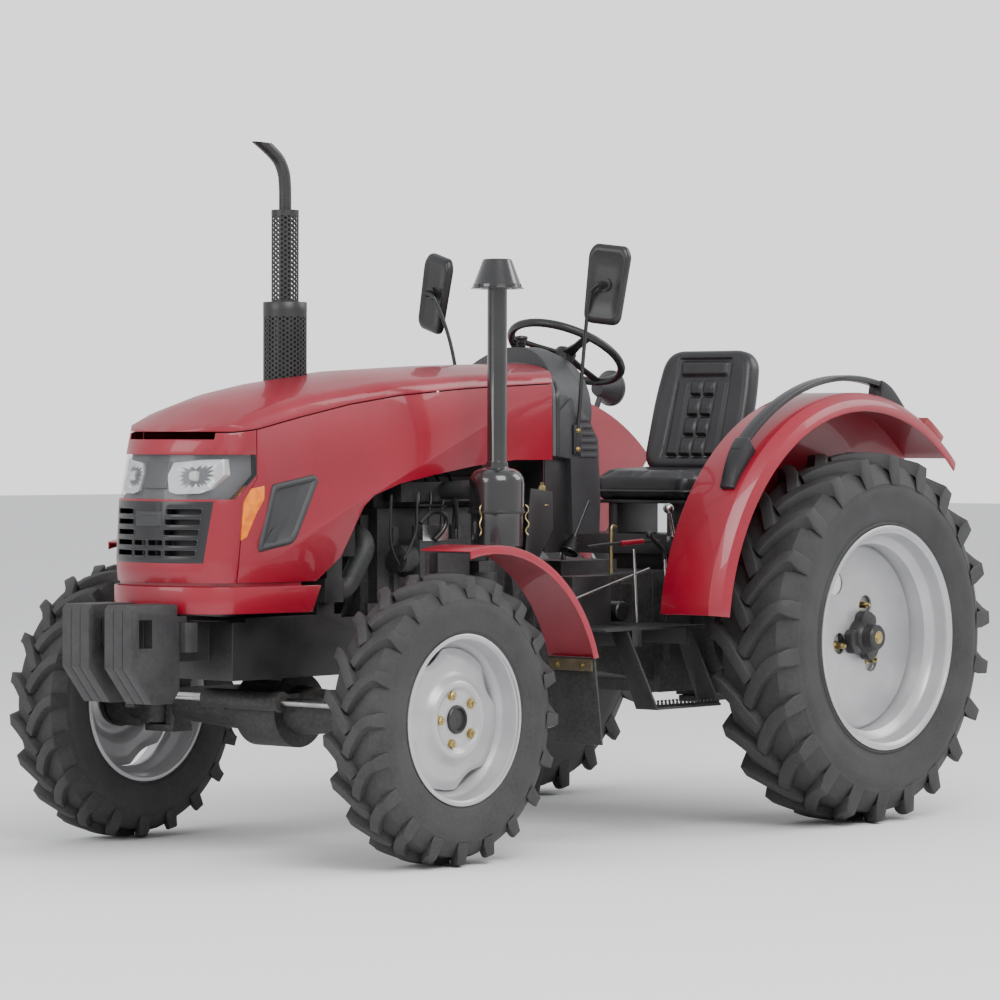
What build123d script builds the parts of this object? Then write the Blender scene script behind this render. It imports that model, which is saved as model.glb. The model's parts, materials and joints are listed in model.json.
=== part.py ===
from build123d import *
import math
import os
from dataclasses import dataclass

# A compact four-wheel-drive farm tractor, in millimetres and degrees. While it is modelled, x runs
# forward from the rear axle, y to the left and z up from the ground. On export everything moves
# along x, so that the origin lies on the ground under the middle of the tractor.

# ---------------------------------------------------------------- running gear
WHEELBASE = 2030.0
TYRE_CLEAR = 3.0
LUG_SIDES = (1, -1)
LUG_SWEEP = 0.5
LUG_PHASE = 0.25


@dataclass(frozen=True)
class WheelSize:
    """One wheel: its tyre, rim and disc. Offsets run outwards from the tyre's middle plane."""

    centre_y: float
    diameter: float
    width: float
    flange: float
    seat: float
    rim_width: float
    wall: float
    seat_width: float
    well_depth: float
    lug_height: float
    lug_width: float
    lug_count: int
    lug_reach: float
    facets: int
    disc_offset: float
    disc_dish: float
    dish_radius: float
    bore: float
    valve_hole: float
    valve_angle: float


REAR_WHEEL = WheelSize(
    centre_y=764.0, diameter=1260.0, width=315.0, flange=762.0, seat=716.0, rim_width=300.0,
    wall=7.0, seat_width=46.0, well_depth=34.0, lug_height=32.0, lug_width=40.0, lug_count=22,
    lug_reach=78.0, facets=22, disc_offset=22.0, disc_dish=0.0, dish_radius=150.0, bore=112.0,
    valve_hole=74.0, valve_angle=-150.0,
)
FRONT_WHEEL = WheelSize(
    centre_y=685.0, diameter=896.0, width=211.0, flange=524.0, seat=492.0, rim_width=190.0,
    wall=6.0, seat_width=30.0, well_depth=24.0, lug_height=26.0, lug_width=30.0, lug_count=20,
    lug_reach=52.0, facets=20, disc_offset=38.0, disc_dish=16.0, dish_radius=112.0, bore=74.0,
    valve_hole=44.0, valve_angle=-150.0,
)
REAR_AXLE_Z = REAR_WHEEL.diameter / 2
FRONT_AXLE_Z = FRONT_WHEEL.diameter / 2

KINGPIN_Y = 545.0
KINGPIN_DIAMETER = 36.0
KINGPIN_GAP = 0.3
KNUCKLE_DIAMETER = 116.0
KNUCKLE_HEIGHT = 128.0
YOKE_GAP = 6.0
YOKE_THICKNESS = 22.0
AXLE_TUBE = 104.0
AXLE_END_Y = 470.0
DIFF_DIAMETER = 236.0
DIFF_WIDTH = 176.0
FINAL_DRIVE = 168.0
FINAL_DRIVE_END = 706.0
ARM_REACH = 162.0
ARM_INSET = 34.0
ARM_THICKNESS = 18.0
CYLINDER_DIAMETER = 62.0
CYLINDER_LENGTH = 330.0
STEER_ROD = 26.0
STEER_EYE = 44.0
TRUMPET_ROOT = 230.0
TRUMPET_TIP = 150.0
TRUMPET_END_Y = 700.0
BRAKE_DIAMETER = 300.0
BRAKE_WIDTH = 90.0

# ---------------------------------------------------------------- bodywork
SHEET = 5.0
SEAM = 4.0
SKIRT_TOP = 850.0
SKIRT_BOTTOM = 768.0
SKIRT_PROUD = 5.0
SKIRT_REAR_X = 2156.0
HOOD_BASE = 862.0
FAR = 4000.0
HOOD_REAR_X = 903.0
HOOD_REAR_SIDE_X = 1040.0
# Cross-sections: station x, half width at the base, half width and height at the seam, crown height.
HOOD_SECTIONS = (
    (860.0, 285.0, 259.0, 1487.0, 1558.0),
    (1400.0, 285.0, 256.0, 1463.0, 1540.0),
    (1800.0, 285.0, 253.0, 1431.0, 1518.0),
    (2114.0, 285.0, 250.0, 1388.0, 1478.0),
    (2270.0, 285.0, 248.0, 1354.0, 1450.0),
    (2400.0, 284.0, 246.0, 1326.0, 1410.0),
    (2510.0, 282.0, 243.0, 1296.0, 1350.0),
    (2640.0, 280.0, 238.0, 1250.0, 1276.0),
)
# Seam between the bonnet's top and its sides: x and height.
SEAM_LINE = (
    (700.0, 1494.0), (1049.0, 1480.0), (1406.0, 1463.0), (1744.0, 1437.0), (1977.0, 1407.0),
    (2205.0, 1365.0), (2385.0, 1328.0), (2470.0, 1318.0), (3600.0, 1318.0),
)
# Lower edge of the side panels: x and height.
SIDE_EDGE = (
    (2160.0, HOOD_BASE), (2045.0, 935.0), (1930.0, 1090.0), (1880.0, 1124.0), (1758.0, 1160.0),
    (1591.0, 1187.0), (1400.0, 1214.0), (1200.0, 1233.0), (700.0, 1233.0),
)
NOSE_TIP_X = 2585.0
NOSE_CORNER_X = 2524.0
NOSE_CORNER_Y = 190.0
NOSE_SIDE_X = 2450.0
NOSE_SIDE_Y = 246.0
NOSE_FLANK_X = 2200.0
NOSE_FLANK_Y = 292.0
# How the nose bulges forward: height and shift along x.
NOSE_BULGE = ((740.0, 18.0), (930.0, 36.0), (1120.0, 24.0), (1250.0, -6.0), (1600.0, -96.0))
NOSE_SEAM = ((2395.0, 1330.0), (2402.0, 1180.0), (2455.0, 1110.0), (2480.0, 870.0))
SLOT_HALF_WIDTH = 182.0
SLOT_HEIGHT = 20.0
LAMP_TOP = 1252.0
LAMP_BOTTOM = 1116.0
LAMP_CORNER_Z = 1190.0
LAMP_DEPTH = 70.0
GRILLE_TOP = 1110.0
GRILLE_BOTTOM = 922.0
GRILLE_HALF_TOP = 205.0
GRILLE_HALF_BOTTOM = 186.0
GRILLE_DEPTH = 34.0
GRILLE_BAR = 15.0
# Slots of each grille row from the foot up: (inner, outer) distances from the middle, outer as a share.
GRILLE_SLOTS = (
    ((4.0, 0.34), (0.4, 0.96)),
    ((4.0, 0.34), (0.4, 0.96)),
    ((62.0, 0.96),),
    ((66.0, 0.96),),
    ((70.0, 0.96),),
)
# Side lamp and side vent outlines: x and height.
SIDE_LAMP = ((2446.0, 1146.0), (2368.0, 1158.0), (2372.0, 1118.0), (2402.0, 1078.0), (2442.0, 1000.0),
             (2478.0, 984.0))
SIDE_VENT = ((2336.0, 1160.0), (2156.0, 1190.0), (2134.0, 1176.0), (2240.0, 1000.0), (2266.0, 978.0),
             (2398.0, 956.0), (2402.0, 976.0))

# ---------------------------------------------------------------- engine and chassis
CRANK_Z = 800.0
ENGINE_FRONT_X = WHEELBASE - 280.0
ENGINE_REAR_X = 1130.0
ENGINE_HALF_WIDTH = 160.0
ENGINE_DECK_Z = 1080.0
ENGINE_SKIRT_Z = 680.0
HEAD_HEIGHT = 100.0
COVER_HEIGHT = 55.0
COVER_DEPTH = 36.0
SUMP_DEPTH = 120.0
BELL_LENGTH = 110.0
BELL_DIAMETER = 400.0
CYLINDERS = 4
GEARBOX_HALF_WIDTH = 150.0
GEARBOX_BOTTOM = 470.0
GEARBOX_TOP = 850.0
GEARBOX_REAR_X = 330.0
CENTRE_HALF_WIDTH = 185.0
CENTRE_REAR_X = -235.0
CENTRE_BOTTOM = REAR_AXLE_Z - 200.0
CENTRE_TOP = 850.0
FRAME_RAIL = 40.0
FRAME_HALF_WIDTH = 190.0
FRAME_BOTTOM = 560.0
FRAME_TOP = 740.0
FRAME_FRONT_X = 2440.0
WEIGHT_FRONT_X = 2830.0
WEIGHT_REAR_X = 2569.0
WEIGHT_TOP = 800.0
WEIGHT_BOTTOM = 500.0
WEIGHT_THICKNESS = 37.0
WEIGHT_PITCH = 39.0
WEIGHT_FIRST_Y = 34.0
WEIGHTS_PER_SIDE = 3
DRIVE_SHAFT_DIAMETER = 64.0

RADIATOR_X = 1990.0
RADIATOR_THICKNESS = 70.0
RADIATOR_HALF_WIDTH = 230.0
RADIATOR_BOTTOM = 790.0
RADIATOR_TOP = 1340.0
RADIATOR_TANK = 76.0
HOSE_DIAMETER = 66.0

STACK_X = 1925.0
STACK_Y = -80.0
LOWER_GUARD_DIAMETER = 140.0
UPPER_GUARD_DIAMETER = 88.0
GUARD_SPLIT_Z = 1736.0
GUARD_TOP_Z = 2029.0
GUARD_WALL = 3.0
STACK_DIAMETER = 40.0
STACK_BEND = 95.0
STACK_BEND_Z = 2110.0
STACK_TIP_X = 2018.0
STACK_TIP_Z = 2240.0
STACK_HOLE_CLEAR = 6.0

CLEANER_X = 1481.0
CLEANER_Y = 430.0
CLEANER_DIAMETER = 178.0
CLEANER_BOTTOM = 947.0
CLEANER_TOP = 1209.0
CLEANER_STACK = 63.0
CAP_DIAMETER = 170.0
CAP_BOTTOM = 1780.0
CAP_TOP = 1875.0
CAP_CROWN = 92.0

# ---------------------------------------------------------------- driver's station
PLATFORM_Z = 683.0
PLATFORM_FRONT_X = 1090.0
PLATFORM_REAR_X = 560.0
PLATFORM_OUTER_Y = 560.0
PLATFORM_THICKNESS = 8.0
STEP_Z = 430.0
STEP_Y = 640.0
STEP_DEPTH = 90.0
STEP_LENGTH = 340.0
STEP_CENTRE_X = 806.0
STEP_PLATE = 8.0

FENDER_RADIUS = 832.0
FENDER_FRONT_ANGLE = 6.7
FENDER_REAR_ANGLE = 133.0
FENDER_INNER_Y = 576.0
FENDER_OUTER_Y = 820.0
FENDER_LIP = 34.0
# Cross-section of the rear fender's sheet: distance out from its inner edge and drop below its crown.
FENDER_SECTION = ((0.0, 0.0), (200.0, 0.0), (232.0, 24.0), (244.0, 60.0))
RAIL_HEIGHT = 60.0
RAIL_WIDTH = 46.0
RAIL_THICKNESS = 20.0

SEAT_HALF_WIDTH = 231.0
CUSHION_FRONT_X = 240.0
CUSHION_REAR_X = -130.0
CUSHION_BOTTOM = 1090.0
CUSHION_TOP = 1200.0
BACK_RECLINE = 16.0
BACK_LENGTH = 420.0
BACK_THICKNESS = 90.0
CROSS_Z = 972.0

# Cowl cross-sections: station x, half width, height at the shoulder, crown height.
COWL_SECTIONS = (
    (1060.0, 250.0, 1462.0, 1600.0),
    (900.0, 240.0, 1440.0, 1611.0),
    (800.0, 226.0, 1400.0, 1612.0),
    (720.0, 190.0, 1340.0, 1590.0),
)
COWL_GAP = 14.0
COWL_BASE = 1240.0
# Side panel of the cowl: x and height.
COWL_PANEL = ((745.0, 985.0), (739.0, 1081.0), (751.0, 1299.0), (812.0, 1376.0), (888.0, 1438.0),
              (950.0, 1398.0), (1000.0, 1250.0), (896.0, 1236.0), (884.0, 985.0))
COWL_PANEL_Y = 236.0
COWL_PANEL_DEPTH = 16.0
COWL_RIBS = 6
COWL_RIB_PITCH = 24.0
COWL_RIB_TOP = 1372.0

WHEEL_HUB_X = 617.0
WHEEL_HUB_Z = 1598.0
WHEEL_DIAMETER = 423.0
WHEEL_GRIP = 27.0
WHEEL_TILT = 29.5
SPOKES = 3
GRIP_SIDES = 10

MIRROR_X = 872.0
MIRROR_Y = 395.0
MIRROR_Z = 1813.0
MIRROR_WIDTH = 150.0
MIRROR_HEIGHT = 265.0
MIRROR_THICKNESS = 26.0
MIRROR_ARM = 13.0

FRONT_FENDER_INNER_Y = 584.0
FRONT_FENDER_OUTER_Y = 790.0
# Front fender line: distances ahead of the axle and over the tyre's top, from its front to its rear.
FRONT_FENDER_LINE = ((-10.0, 66.0), (-322.0, 43.0), (-626.0, -283.0))
FLAP_BOTTOM = 335.0

# ---------------------------------------------------------------- rear linkage
LINK_PIVOT_X = -70.0
LINK_PIVOT_Y = 235.0
LINK_PIVOT_Z = REAR_AXLE_Z - 200.0
LINK_BALL_X = -870.0
LINK_BALL_Y = 341.5
LINK_BALL_Z = REAR_AXLE_Z - 160.0
LINK_ROD_SHARE = 0.58
LINK_BAR_HEIGHT = 55.0
LINK_BAR_THICKNESS = 20.0
BALL_DIAMETER = 56.0
BALL_WIDTH = 35.0
LOWER_BORE = 22.4
ROCKSHAFT_X = -120.0
ROCKSHAFT_Z = 905.0
ROCKSHAFT_DIAMETER = 60.0
LIFT_ARM_Y = 215.0
LIFT_ARM_END_X = -410.0
LIFT_ARM_END_Z = 850.0
LIFT_ROD = 26.0
TOP_LINK_PIVOT_X = -290.0
TOP_LINK_PIVOT_Z = 800.0
TOP_LINK_LENGTH = 430.0
TOP_LINK_ANGLE = 15.0
TOP_BORE = 19.3
DRAWBAR_Z = REAR_AXLE_Z - 258.0
DRAWBAR_REAR_X = -470.0
DRAWBAR_BORE = 27.0
PTO_DIAMETER = 35.0
PTO_Z = REAR_AXLE_Z - 50.0
PTO_END_X = -345.0

PIN_DIAMETER = 22.0
TOP_EYE_WIDTH = 44.0
WORK_LAMP_X = -443.0
WORK_LAMP_Y = -700.0
WORK_LAMP_Z = 1492.0
WORK_LAMP_DIAMETER = 128.0
TOOL_BOX_X = 800.0
TOOL_BOX_LENGTH = 200.0
TOOL_BOX_HEIGHT = 165.0
DRAWBAR_EDGE = 40.0
DRAWBAR_THICKNESS = 22.0
PTO_CAP_LENGTH = 30.0

LINK_END_X = LINK_BALL_X - BALL_DIAMETER / 2
ORIGIN_SHIFT = -(WEIGHT_FRONT_X + LINK_END_X) / 2


# ---------------------------------------------------------------- plain forms
def block(x, y, z):
    """A block between a low and a high limit along each axis."""
    centre = [(low + high) / 2 for low, high in (x, y, z)]
    return Pos(*centre) * Box(*[high - low for low, high in (x, y, z)])


def bar(start, end, diameter):
    """A round bar between two points."""
    line = Vector(*end) - Vector(*start)
    return extrude(Plane(origin=start, z_dir=line) * Circle(diameter / 2), line.length)


def taper(start, end, first, last):
    """A round bar between two points whose diameter changes."""
    line = Vector(*end) - Vector(*start)
    plane = Plane(origin=start, z_dir=line)
    return plane * (Pos(0, 0, line.length / 2) * Cone(first / 2, last / 2, line.length))


def tube(start, end, diameter, wall):
    """A round tube between two points."""
    return bar(start, end, diameter) - bar(start, end, diameter - 2 * wall)


def pipe(points, radii, diameter):
    """A round pipe along straight runs joined by arcs."""
    path = FilletPolyline(*points, radius=radii)
    return sweep(Plane(origin=path @ 0, z_dir=path % 0) * Circle(diameter / 2), path)


def turned(points):
    """A solid turned about the y axis from a closed line of (y, radius) points."""
    return revolve(make_face(Polyline(*[(0, y, r) for y, r in points], close=True)), Axis.Y)


def side_plate(points, y):
    """A plate cut to a closed line of (x, z) points, between two values of y."""
    face = make_face(Polyline(*[(x, y[0], z) for x, z in points], close=True))
    return extrude(face, amount=y[1] - y[0], dir=(0, 1, 0))


def plan_plate(points, z):
    """A plate cut to a closed line of (x, y) points, between two values of z."""
    face = make_face(Polyline(*[(x, y, z[0]) for x, y in points], close=True))
    return extrude(face, amount=z[1] - z[0], dir=(0, 0, 1))


def both_sides(shape):
    """A left-hand piece and its mirror image on the right."""
    return Compound(list(shape.solids()) + list(mirror(shape, Plane.XZ).solids()))


def right_hand(shape):
    """The mirror image of a left-hand piece."""
    return mirror(shape, Plane.XZ)


# ---------------------------------------------------------------- wheels
def lug(size, side):
    """One bar lug, from just past the middle to the shoulder of its side."""
    tip = size.diameter / 2
    half = size.width / 2
    reach = LUG_SWEEP * half
    thick = 1.15 * size.lug_width / 2
    top = math.sqrt(tip**2 - (reach + thick) ** 2)
    foot = tip - size.lug_height - size.lug_reach
    # The bar in plan: distance along and across, at its inner and outer ends.
    plan = [(reach - thick, -0.08 * half), (reach + thick, -0.08 * half), (-reach + thick, half + 1),
            (-reach - thick, half + 1)]
    # The bar's side view across the tyre: crown, shoulder and its foot inside the carcass.
    profile = [(-0.1 * half, foot), (-0.1 * half, top), (0.93 * half, top - 10), (0.985 * half, foot)]
    across = make_face(Polyline(*[(-size.width, y, z) for y, z in profile], close=True))
    bar_lug = plan_plate(plan, (foot, tip)) & extrude(across, 2 * size.width, dir=(1, 0, 0))
    return bar_lug if side > 0 else mirror(bar_lug, Plane.XZ)


def ring_solid(rows, sides):
    """A many-sided solid about the y axis through rows of (y, radius), made of flat facets."""
    step = 2 * math.pi / sides
    turns = [(math.cos((index + 0.5) * step), math.sin((index + 0.5) * step)) for index in range(sides)]
    rings = [[(r * c / math.cos(step / 2), y, r * s / math.cos(step / 2)) for c, s in turns] for y,
             r in rows]
    outlines = [rings[0], rings[-1]]
    for a, b in zip(rings, rings[1:]):
        outlines += [[a[index - 1], a[index], b[index], b[index - 1]] for index in range(sides)]
    return Solid(Shell([make_face(Polyline(*outline, close=True)) for outline in outlines]))


def tyre(size):
    """A bar-lug tyre: carcass and lugs in one, about the y axis."""
    half = size.width / 2
    crown = size.diameter / 2 - size.lug_height
    bead = size.rim_width / 2 - size.wall
    flange = size.flange / 2 + TYRE_CLEAR
    rows = [(bead, flange), (half, 0.6 * crown + 0.4 * flange), (0.72 * half, crown)]
    carcass = ring_solid([(-y, r) for y, r in rows] + [(y, r) for y, r in reversed(rows)], size.facets)
    pitch = 360 / size.lug_count
    lugs = []
    for index, side in enumerate(LUG_SIDES):
        first = lug(size, side)
        lugs += [Rot(0, (step + index / 2 + LUG_PHASE) * pitch,
                     0) * first for step in range(size.lug_count)]
    return carcass.fuse(*lugs) - ring_solid([(-half, size.seat / 2), (half, size.seat / 2)], size.facets)


def rim_section(size):
    """The rim's thin section: flanges, bead seats and the well between them."""
    half = size.rim_width / 2
    seat, wall = size.seat / 2, size.wall
    well = seat - size.well_depth
    edge = half - wall - size.seat_width
    slope = size.well_depth
    top = [(half, size.flange / 2), (half - wall, size.flange / 2), (half - wall, seat), (edge, seat),
           (edge - slope, well)]
    low = [(edge - slope - wall / 2, well - wall), (edge - wall / 2, seat - wall), (half, seat - wall)]
    return top + [(-y, r) for y, r in reversed(top)] + [(-y, r) for y, r in reversed(low)] + low


def wheel_disc(size):
    """The pressed disc from the rim's well to the hub, dished outwards about its middle."""
    outer = size.seat / 2 - size.well_depth - size.wall / 2
    face = size.disc_offset
    raised = face + size.disc_dish
    bore, dish = size.bore / 2, size.dish_radius
    line = [(face, outer), (face, dish), (raised, dish - size.disc_dish - 1), (raised, bore)]
    disc = turned(line + [(y - size.wall, r) for y, r in reversed(line)])
    place = Rot(0, size.valve_angle, 0) * Pos(outer - 0.62 * size.valve_hole, face, 0)
    return disc - place * (Rot(90, 0, 0) * Cylinder(size.valve_hole / 2, 4 * size.wall))


def front_rim():
    """Front wheel: rim, disc and the drive flange that the disc bolts to."""
    size = FRONT_WHEEL
    raised = size.disc_offset + size.disc_dish - size.wall
    flange = turned([(raised, 0), (raised, 88), (raised - 16, 88), (raised - 16, 0)])
    return turned(rim_section(size)) + wheel_disc(size) + flange


def rear_rim():
    """Rear wheel: rim and flat inset disc."""
    return turned(rim_section(REAR_WHEEL)) + wheel_disc(REAR_WHEEL)


def rear_hub():
    """Rear hub: the shaft's nose and the three-lobed clamp casting outside the disc."""
    size = REAR_WHEEL
    face = size.disc_offset
    shaft = turned([(face - 52, 0), (face - 52, 48), (face + 92, 30), (face + 92, 0)])
    plate = turned([(face - size.wall - 14, 0), (face - size.wall - 14, 92), (face - size.wall, 92),
                    (face - size.wall, size.bore / 2), (face + 16, size.bore / 2), (face + 16, 0)])
    casting = plate + shaft
    for step in range(3):
        lobe = block((0, 74), (face + 1, face + 36), (-17, 17)) + bar((74, face + 1, 0), (74, face + 36, 0),
                                                                      34)
        casting += Rot(0, 120 * step + 30, 0) * lobe
    return casting


def placed_wheel(shape, size, x):
    """A wheel piece moved from the y axis to its place on the left of the tractor."""
    return Pos(x, size.centre_y, size.diameter / 2) * shape


# ---------------------------------------------------------------- axles and steering
def front_axle():
    """Cast front axle: differential housing, tubes, yokes at the kingpins and the cylinder barrel."""
    x, z = WHEELBASE, FRONT_AXLE_Z
    half = KNUCKLE_HEIGHT / 2 + YOKE_GAP
    diff = bar((x, -DIFF_WIDTH / 2, z), (x, DIFF_WIDTH / 2, z), DIFF_DIAMETER)
    nose = taper((x, 0, z), (x - 190, 0, z), 150, 96)
    saddle = block((x - 70, x + 70), (-75, 75), (z, z + 128))
    left = taper((x, DIFF_WIDTH / 2 - 4, z), (x, AXLE_END_Y - 30, z), 1.5 * AXLE_TUBE, AXLE_TUBE)
    left += block((x - 38, x + 38), (AXLE_END_Y - 36, AXLE_END_Y),
                  (z - half - YOKE_THICKNESS, z + half + YOKE_THICKNESS))
    for low in (z + half, z - half - YOKE_THICKNESS):
        ear = block((x - 42, x + 42), (AXLE_END_Y - 36, KINGPIN_Y), (low, low + YOKE_THICKNESS))
        ear += bar((x, KINGPIN_Y, low), (x, KINGPIN_Y, low + YOKE_THICKNESS), 84)
        left += ear
    left -= bar((x, KINGPIN_Y, z - 200), (x, KINGPIN_Y, z + 200), KINGPIN_DIAMETER + 2 * KINGPIN_GAP)
    rod_x, rod_z = x + ARM_REACH, steer_rod_z()
    barrel = bar((rod_x, -CYLINDER_LENGTH / 2, rod_z), (rod_x, CYLINDER_LENGTH / 2, rod_z),
                 CYLINDER_DIAMETER)
    barrel -= bar((rod_x, -CYLINDER_LENGTH, rod_z), (rod_x, CYLINDER_LENGTH, rod_z),
                  STEER_ROD + 2 * KINGPIN_GAP)
    clamp_y = CYLINDER_LENGTH / 2 - 30
    clamps = both_sides(block((x + 20, rod_x - CYLINDER_DIAMETER / 2 + 6), (clamp_y - 20, clamp_y),
                              (z, rod_z + 20)))
    return diff + nose + saddle + left + mirror(left, Plane.XZ) + barrel + clamps


def steer_rod_z():
    """Height of the steering rod: just over the knuckles' arms."""
    return FRONT_AXLE_Z + ARM_THICKNESS / 2 + YOKE_GAP + STEER_EYE / 2


def knuckle():
    """Left knuckle: kingpin barrel, final drive housing, steering arm and the fender's strut."""
    x, y, z = WHEELBASE, KINGPIN_Y, FRONT_AXLE_Z
    half = KNUCKLE_HEIGHT / 2
    body = bar((x, y, z - half), (x, y, z + half), KNUCKLE_DIAMETER)
    reach = half + YOKE_GAP + YOKE_THICKNESS
    body += bar((x, y, z - reach), (x, y, z + reach), KINGPIN_DIAMETER)
    body += bar((x, y, z), (x, FINAL_DRIVE_END - 60, z), KNUCKLE_HEIGHT - 8)
    body += bar((x, FINAL_DRIVE_END - 70, z), (x, FINAL_DRIVE_END, z), FINAL_DRIVE)
    eye = (x + ARM_REACH, y - ARM_INSET)
    arm = plan_plate([(x, y + 30), (x, y - 10), (eye[0], eye[1] - 22), (eye[0] + 18, eye[1]),
                      (eye[0], eye[1] + 22)],
                     (z - ARM_THICKNESS / 2, z + ARM_THICKNESS / 2))
    strut_x = x - 92
    top = front_fender_height(strut_x) - SHEET
    strut = block((strut_x - 20, strut_x + 20), (y + 2, y + 20), (z - 20, top))
    strut += block((strut_x - 20, x - 30), (y - 10, y + 20), (z - 20, z + 20))
    strut += block((strut_x - 20, strut_x + 20), (y + 2, FRONT_FENDER_OUTER_Y - 30), (top - 14, top))
    return body + arm + strut


def steering_rod():
    """The double-ended cylinder's rod with an eye over each arm."""
    x, z = WHEELBASE + ARM_REACH, steer_rod_z()
    end = KINGPIN_Y - ARM_INSET
    rod = bar((x, -end + STEER_EYE / 2 - 4, z), (x, end - STEER_EYE / 2 + 4, z), STEER_ROD)
    for side in LUG_SIDES:
        eye = bar((x, side * end, z - STEER_ROD / 2 - 3), (x, side * end, z + STEER_ROD / 2 + 3), STEER_EYE)
        rod += eye - bar((x, side * end, z - 50), (x, side * end, z + 50), STEER_EYE / 2)
    return rod


def rear_axle_housings():
    """The trumpets from the centre housing out to each rear hub, with the brake drums."""
    z = REAR_AXLE_Z
    root = CENTRE_HALF_WIDTH
    left = bar((0, root, z), (0, root + BRAKE_WIDTH, z), BRAKE_DIAMETER)
    left += taper((0, root + BRAKE_WIDTH - 2, z), (0, TRUMPET_END_Y - 20, z), TRUMPET_ROOT, TRUMPET_TIP)
    left += bar((0, TRUMPET_END_Y - 24, z), (0, TRUMPET_END_Y, z), 1.2 * TRUMPET_TIP)
    return both_sides(left)


# ---------------------------------------------------------------- engine and chassis
def engine():
    """Inline engine: ribbed block, head, cover, sump and the bell housing behind it."""
    x0, x1 = ENGINE_REAR_X, ENGINE_FRONT_X
    w = ENGINE_HALF_WIDTH
    body = block((x0, x1), (-w, w), (ENGINE_SKIRT_Z, ENGINE_DECK_Z))
    head_top = ENGINE_DECK_Z + HEAD_HEIGHT
    body += block((x0 + 10, x1 - 14), (-w + 30, w - 30), (ENGINE_DECK_Z, head_top))
    body += block((x0 + 30, x1 - 40), (-w + 70, w - 70), (head_top, head_top + COVER_HEIGHT))
    sump_z = ENGINE_SKIRT_Z - SUMP_DEPTH
    sump = [(x0 + 20, ENGINE_SKIRT_Z), (x1 - 20, ENGINE_SKIRT_Z), (x1 - 60, sump_z + 50),
            (x0 + 260, sump_z), (x0 + 60, sump_z)]
    body += side_plate(sump, (-w + 25, w - 25))
    pitch = (x1 - x0) / CYLINDERS
    for step in range(CYLINDERS):
        rib_x = x0 + (step + 0.5) * pitch
        body += block((rib_x - 12, rib_x + 12), (-w - 12, w + 12),
                      (ENGINE_SKIRT_Z + 20, ENGINE_DECK_Z - 60))
    body += bar((x0 - BELL_LENGTH, 0, CRANK_Z), (x0, 0, CRANK_Z), BELL_DIAMETER)
    body += block((x1, x1 + COVER_DEPTH), (-w + 40, w - 40), (ENGINE_SKIRT_Z + 30, ENGINE_DECK_Z - 20))
    body += bar((x1 + COVER_DEPTH, 0, CRANK_Z), (x1 + COVER_DEPTH + 34, 0, CRANK_Z), 170)
    return body


def engine_fittings():
    """What hangs on the block's left and right: pump, filters, manifolds and alternator."""
    w = ENGINE_HALF_WIDTH
    x1 = ENGINE_FRONT_X
    rib = w + 12
    pump = block((x1 - 330, x1 - 90), (rib, rib + 90), (ENGINE_SKIRT_Z + 180, ENGINE_SKIRT_Z + 300))
    pump += bar((x1 - 90, rib + 45, ENGINE_SKIRT_Z + 240), (x1 - 30, rib + 45, ENGINE_SKIRT_Z + 240), 86)
    for step in range(CYLINDERS):
        x = x1 - 300 + 60 * step
        pump += bar((x, rib + 45, ENGINE_SKIRT_Z + 298), (x, rib + 45, ENGINE_SKIRT_Z + 345), 26)
    filters = bar((x1 - 440, rib + 50, ENGINE_SKIRT_Z + 60), (x1 - 440, rib + 50, ENGINE_SKIRT_Z + 190), 92)
    filters += block((x1 - 480, x1 - 400), (rib, rib + 70), (ENGINE_SKIRT_Z + 188, ENGINE_SKIRT_Z + 225))
    intake = block((ENGINE_REAR_X + 40, x1 - 60), (w - 30, w + 48),
                   (ENGINE_DECK_Z + 20, ENGINE_DECK_Z + 84))
    exhaust = right_hand(intake)
    generator = bar((x1 - 110, -rib - 62, ENGINE_DECK_Z - 150), (x1 + 50, -rib - 62, ENGINE_DECK_Z - 150),
                    124)
    starter = bar((ENGINE_REAR_X + 6, -rib - 46, CRANK_Z), (ENGINE_REAR_X + 250, -rib - 46, CRANK_Z), 92)
    return Compound([s for part in (pump, filters, intake, exhaust, generator,
                                    starter) for s in part.solids()])


def radiator():
    """Radiator: finned core between side tanks, with the fan's shroud behind."""
    x, t, w = RADIATOR_X, RADIATOR_THICKNESS, RADIATOR_HALF_WIDTH
    core = block((x, x + t), (-w, w), (RADIATOR_BOTTOM + RADIATOR_TANK, RADIATOR_TOP - RADIATOR_TANK))
    for low in (RADIATOR_BOTTOM, RADIATOR_TOP - RADIATOR_TANK):
        core += block((x - 8, x + t + 8), (-w, w), (low, low + RADIATOR_TANK))
    middle = (RADIATOR_BOTTOM + RADIATOR_TOP) / 2
    shroud = block((x - 70, x), (-w + 10, w - 10),
                   (RADIATOR_BOTTOM + RADIATOR_TANK + HOSE_DIAMETER, RADIATOR_TOP - RADIATOR_TANK))
    shroud -= bar((x - 80, 0, middle), (x, 0, middle),
                  RADIATOR_TOP - RADIATOR_BOTTOM - 2 * RADIATOR_TANK - 100)
    fan = bar((x - 75, 0, middle), (x, 0, middle), 90)
    for step in range(6):
        blade = Rot(0, 0, 20) * Box(8, 60, w - 100)
        fan += Pos(x - 40, 0, middle) * (Rot(60 * step, 0, 0) * (Pos(0, 0, (w - 100) / 2) * blade))
    return core + shroud + fan


def coolant_hose():
    """The thick lower hose from the radiator's foot up to the engine's water pump."""
    z = RADIATOR_BOTTOM + RADIATOR_TANK / 2
    side = RADIATOR_HALF_WIDTH - 40
    start = RADIATOR_X - 8
    end = ENGINE_FRONT_X + COVER_DEPTH
    points = [(start, side, z), (start - 52, side, z), (end + 60, side + 25, z + 157),
              (end + 60, 80, z + 182),
              (end, 80, z + 182)]
    return pipe(points, [60, 60, 50], HOSE_DIAMETER)


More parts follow.
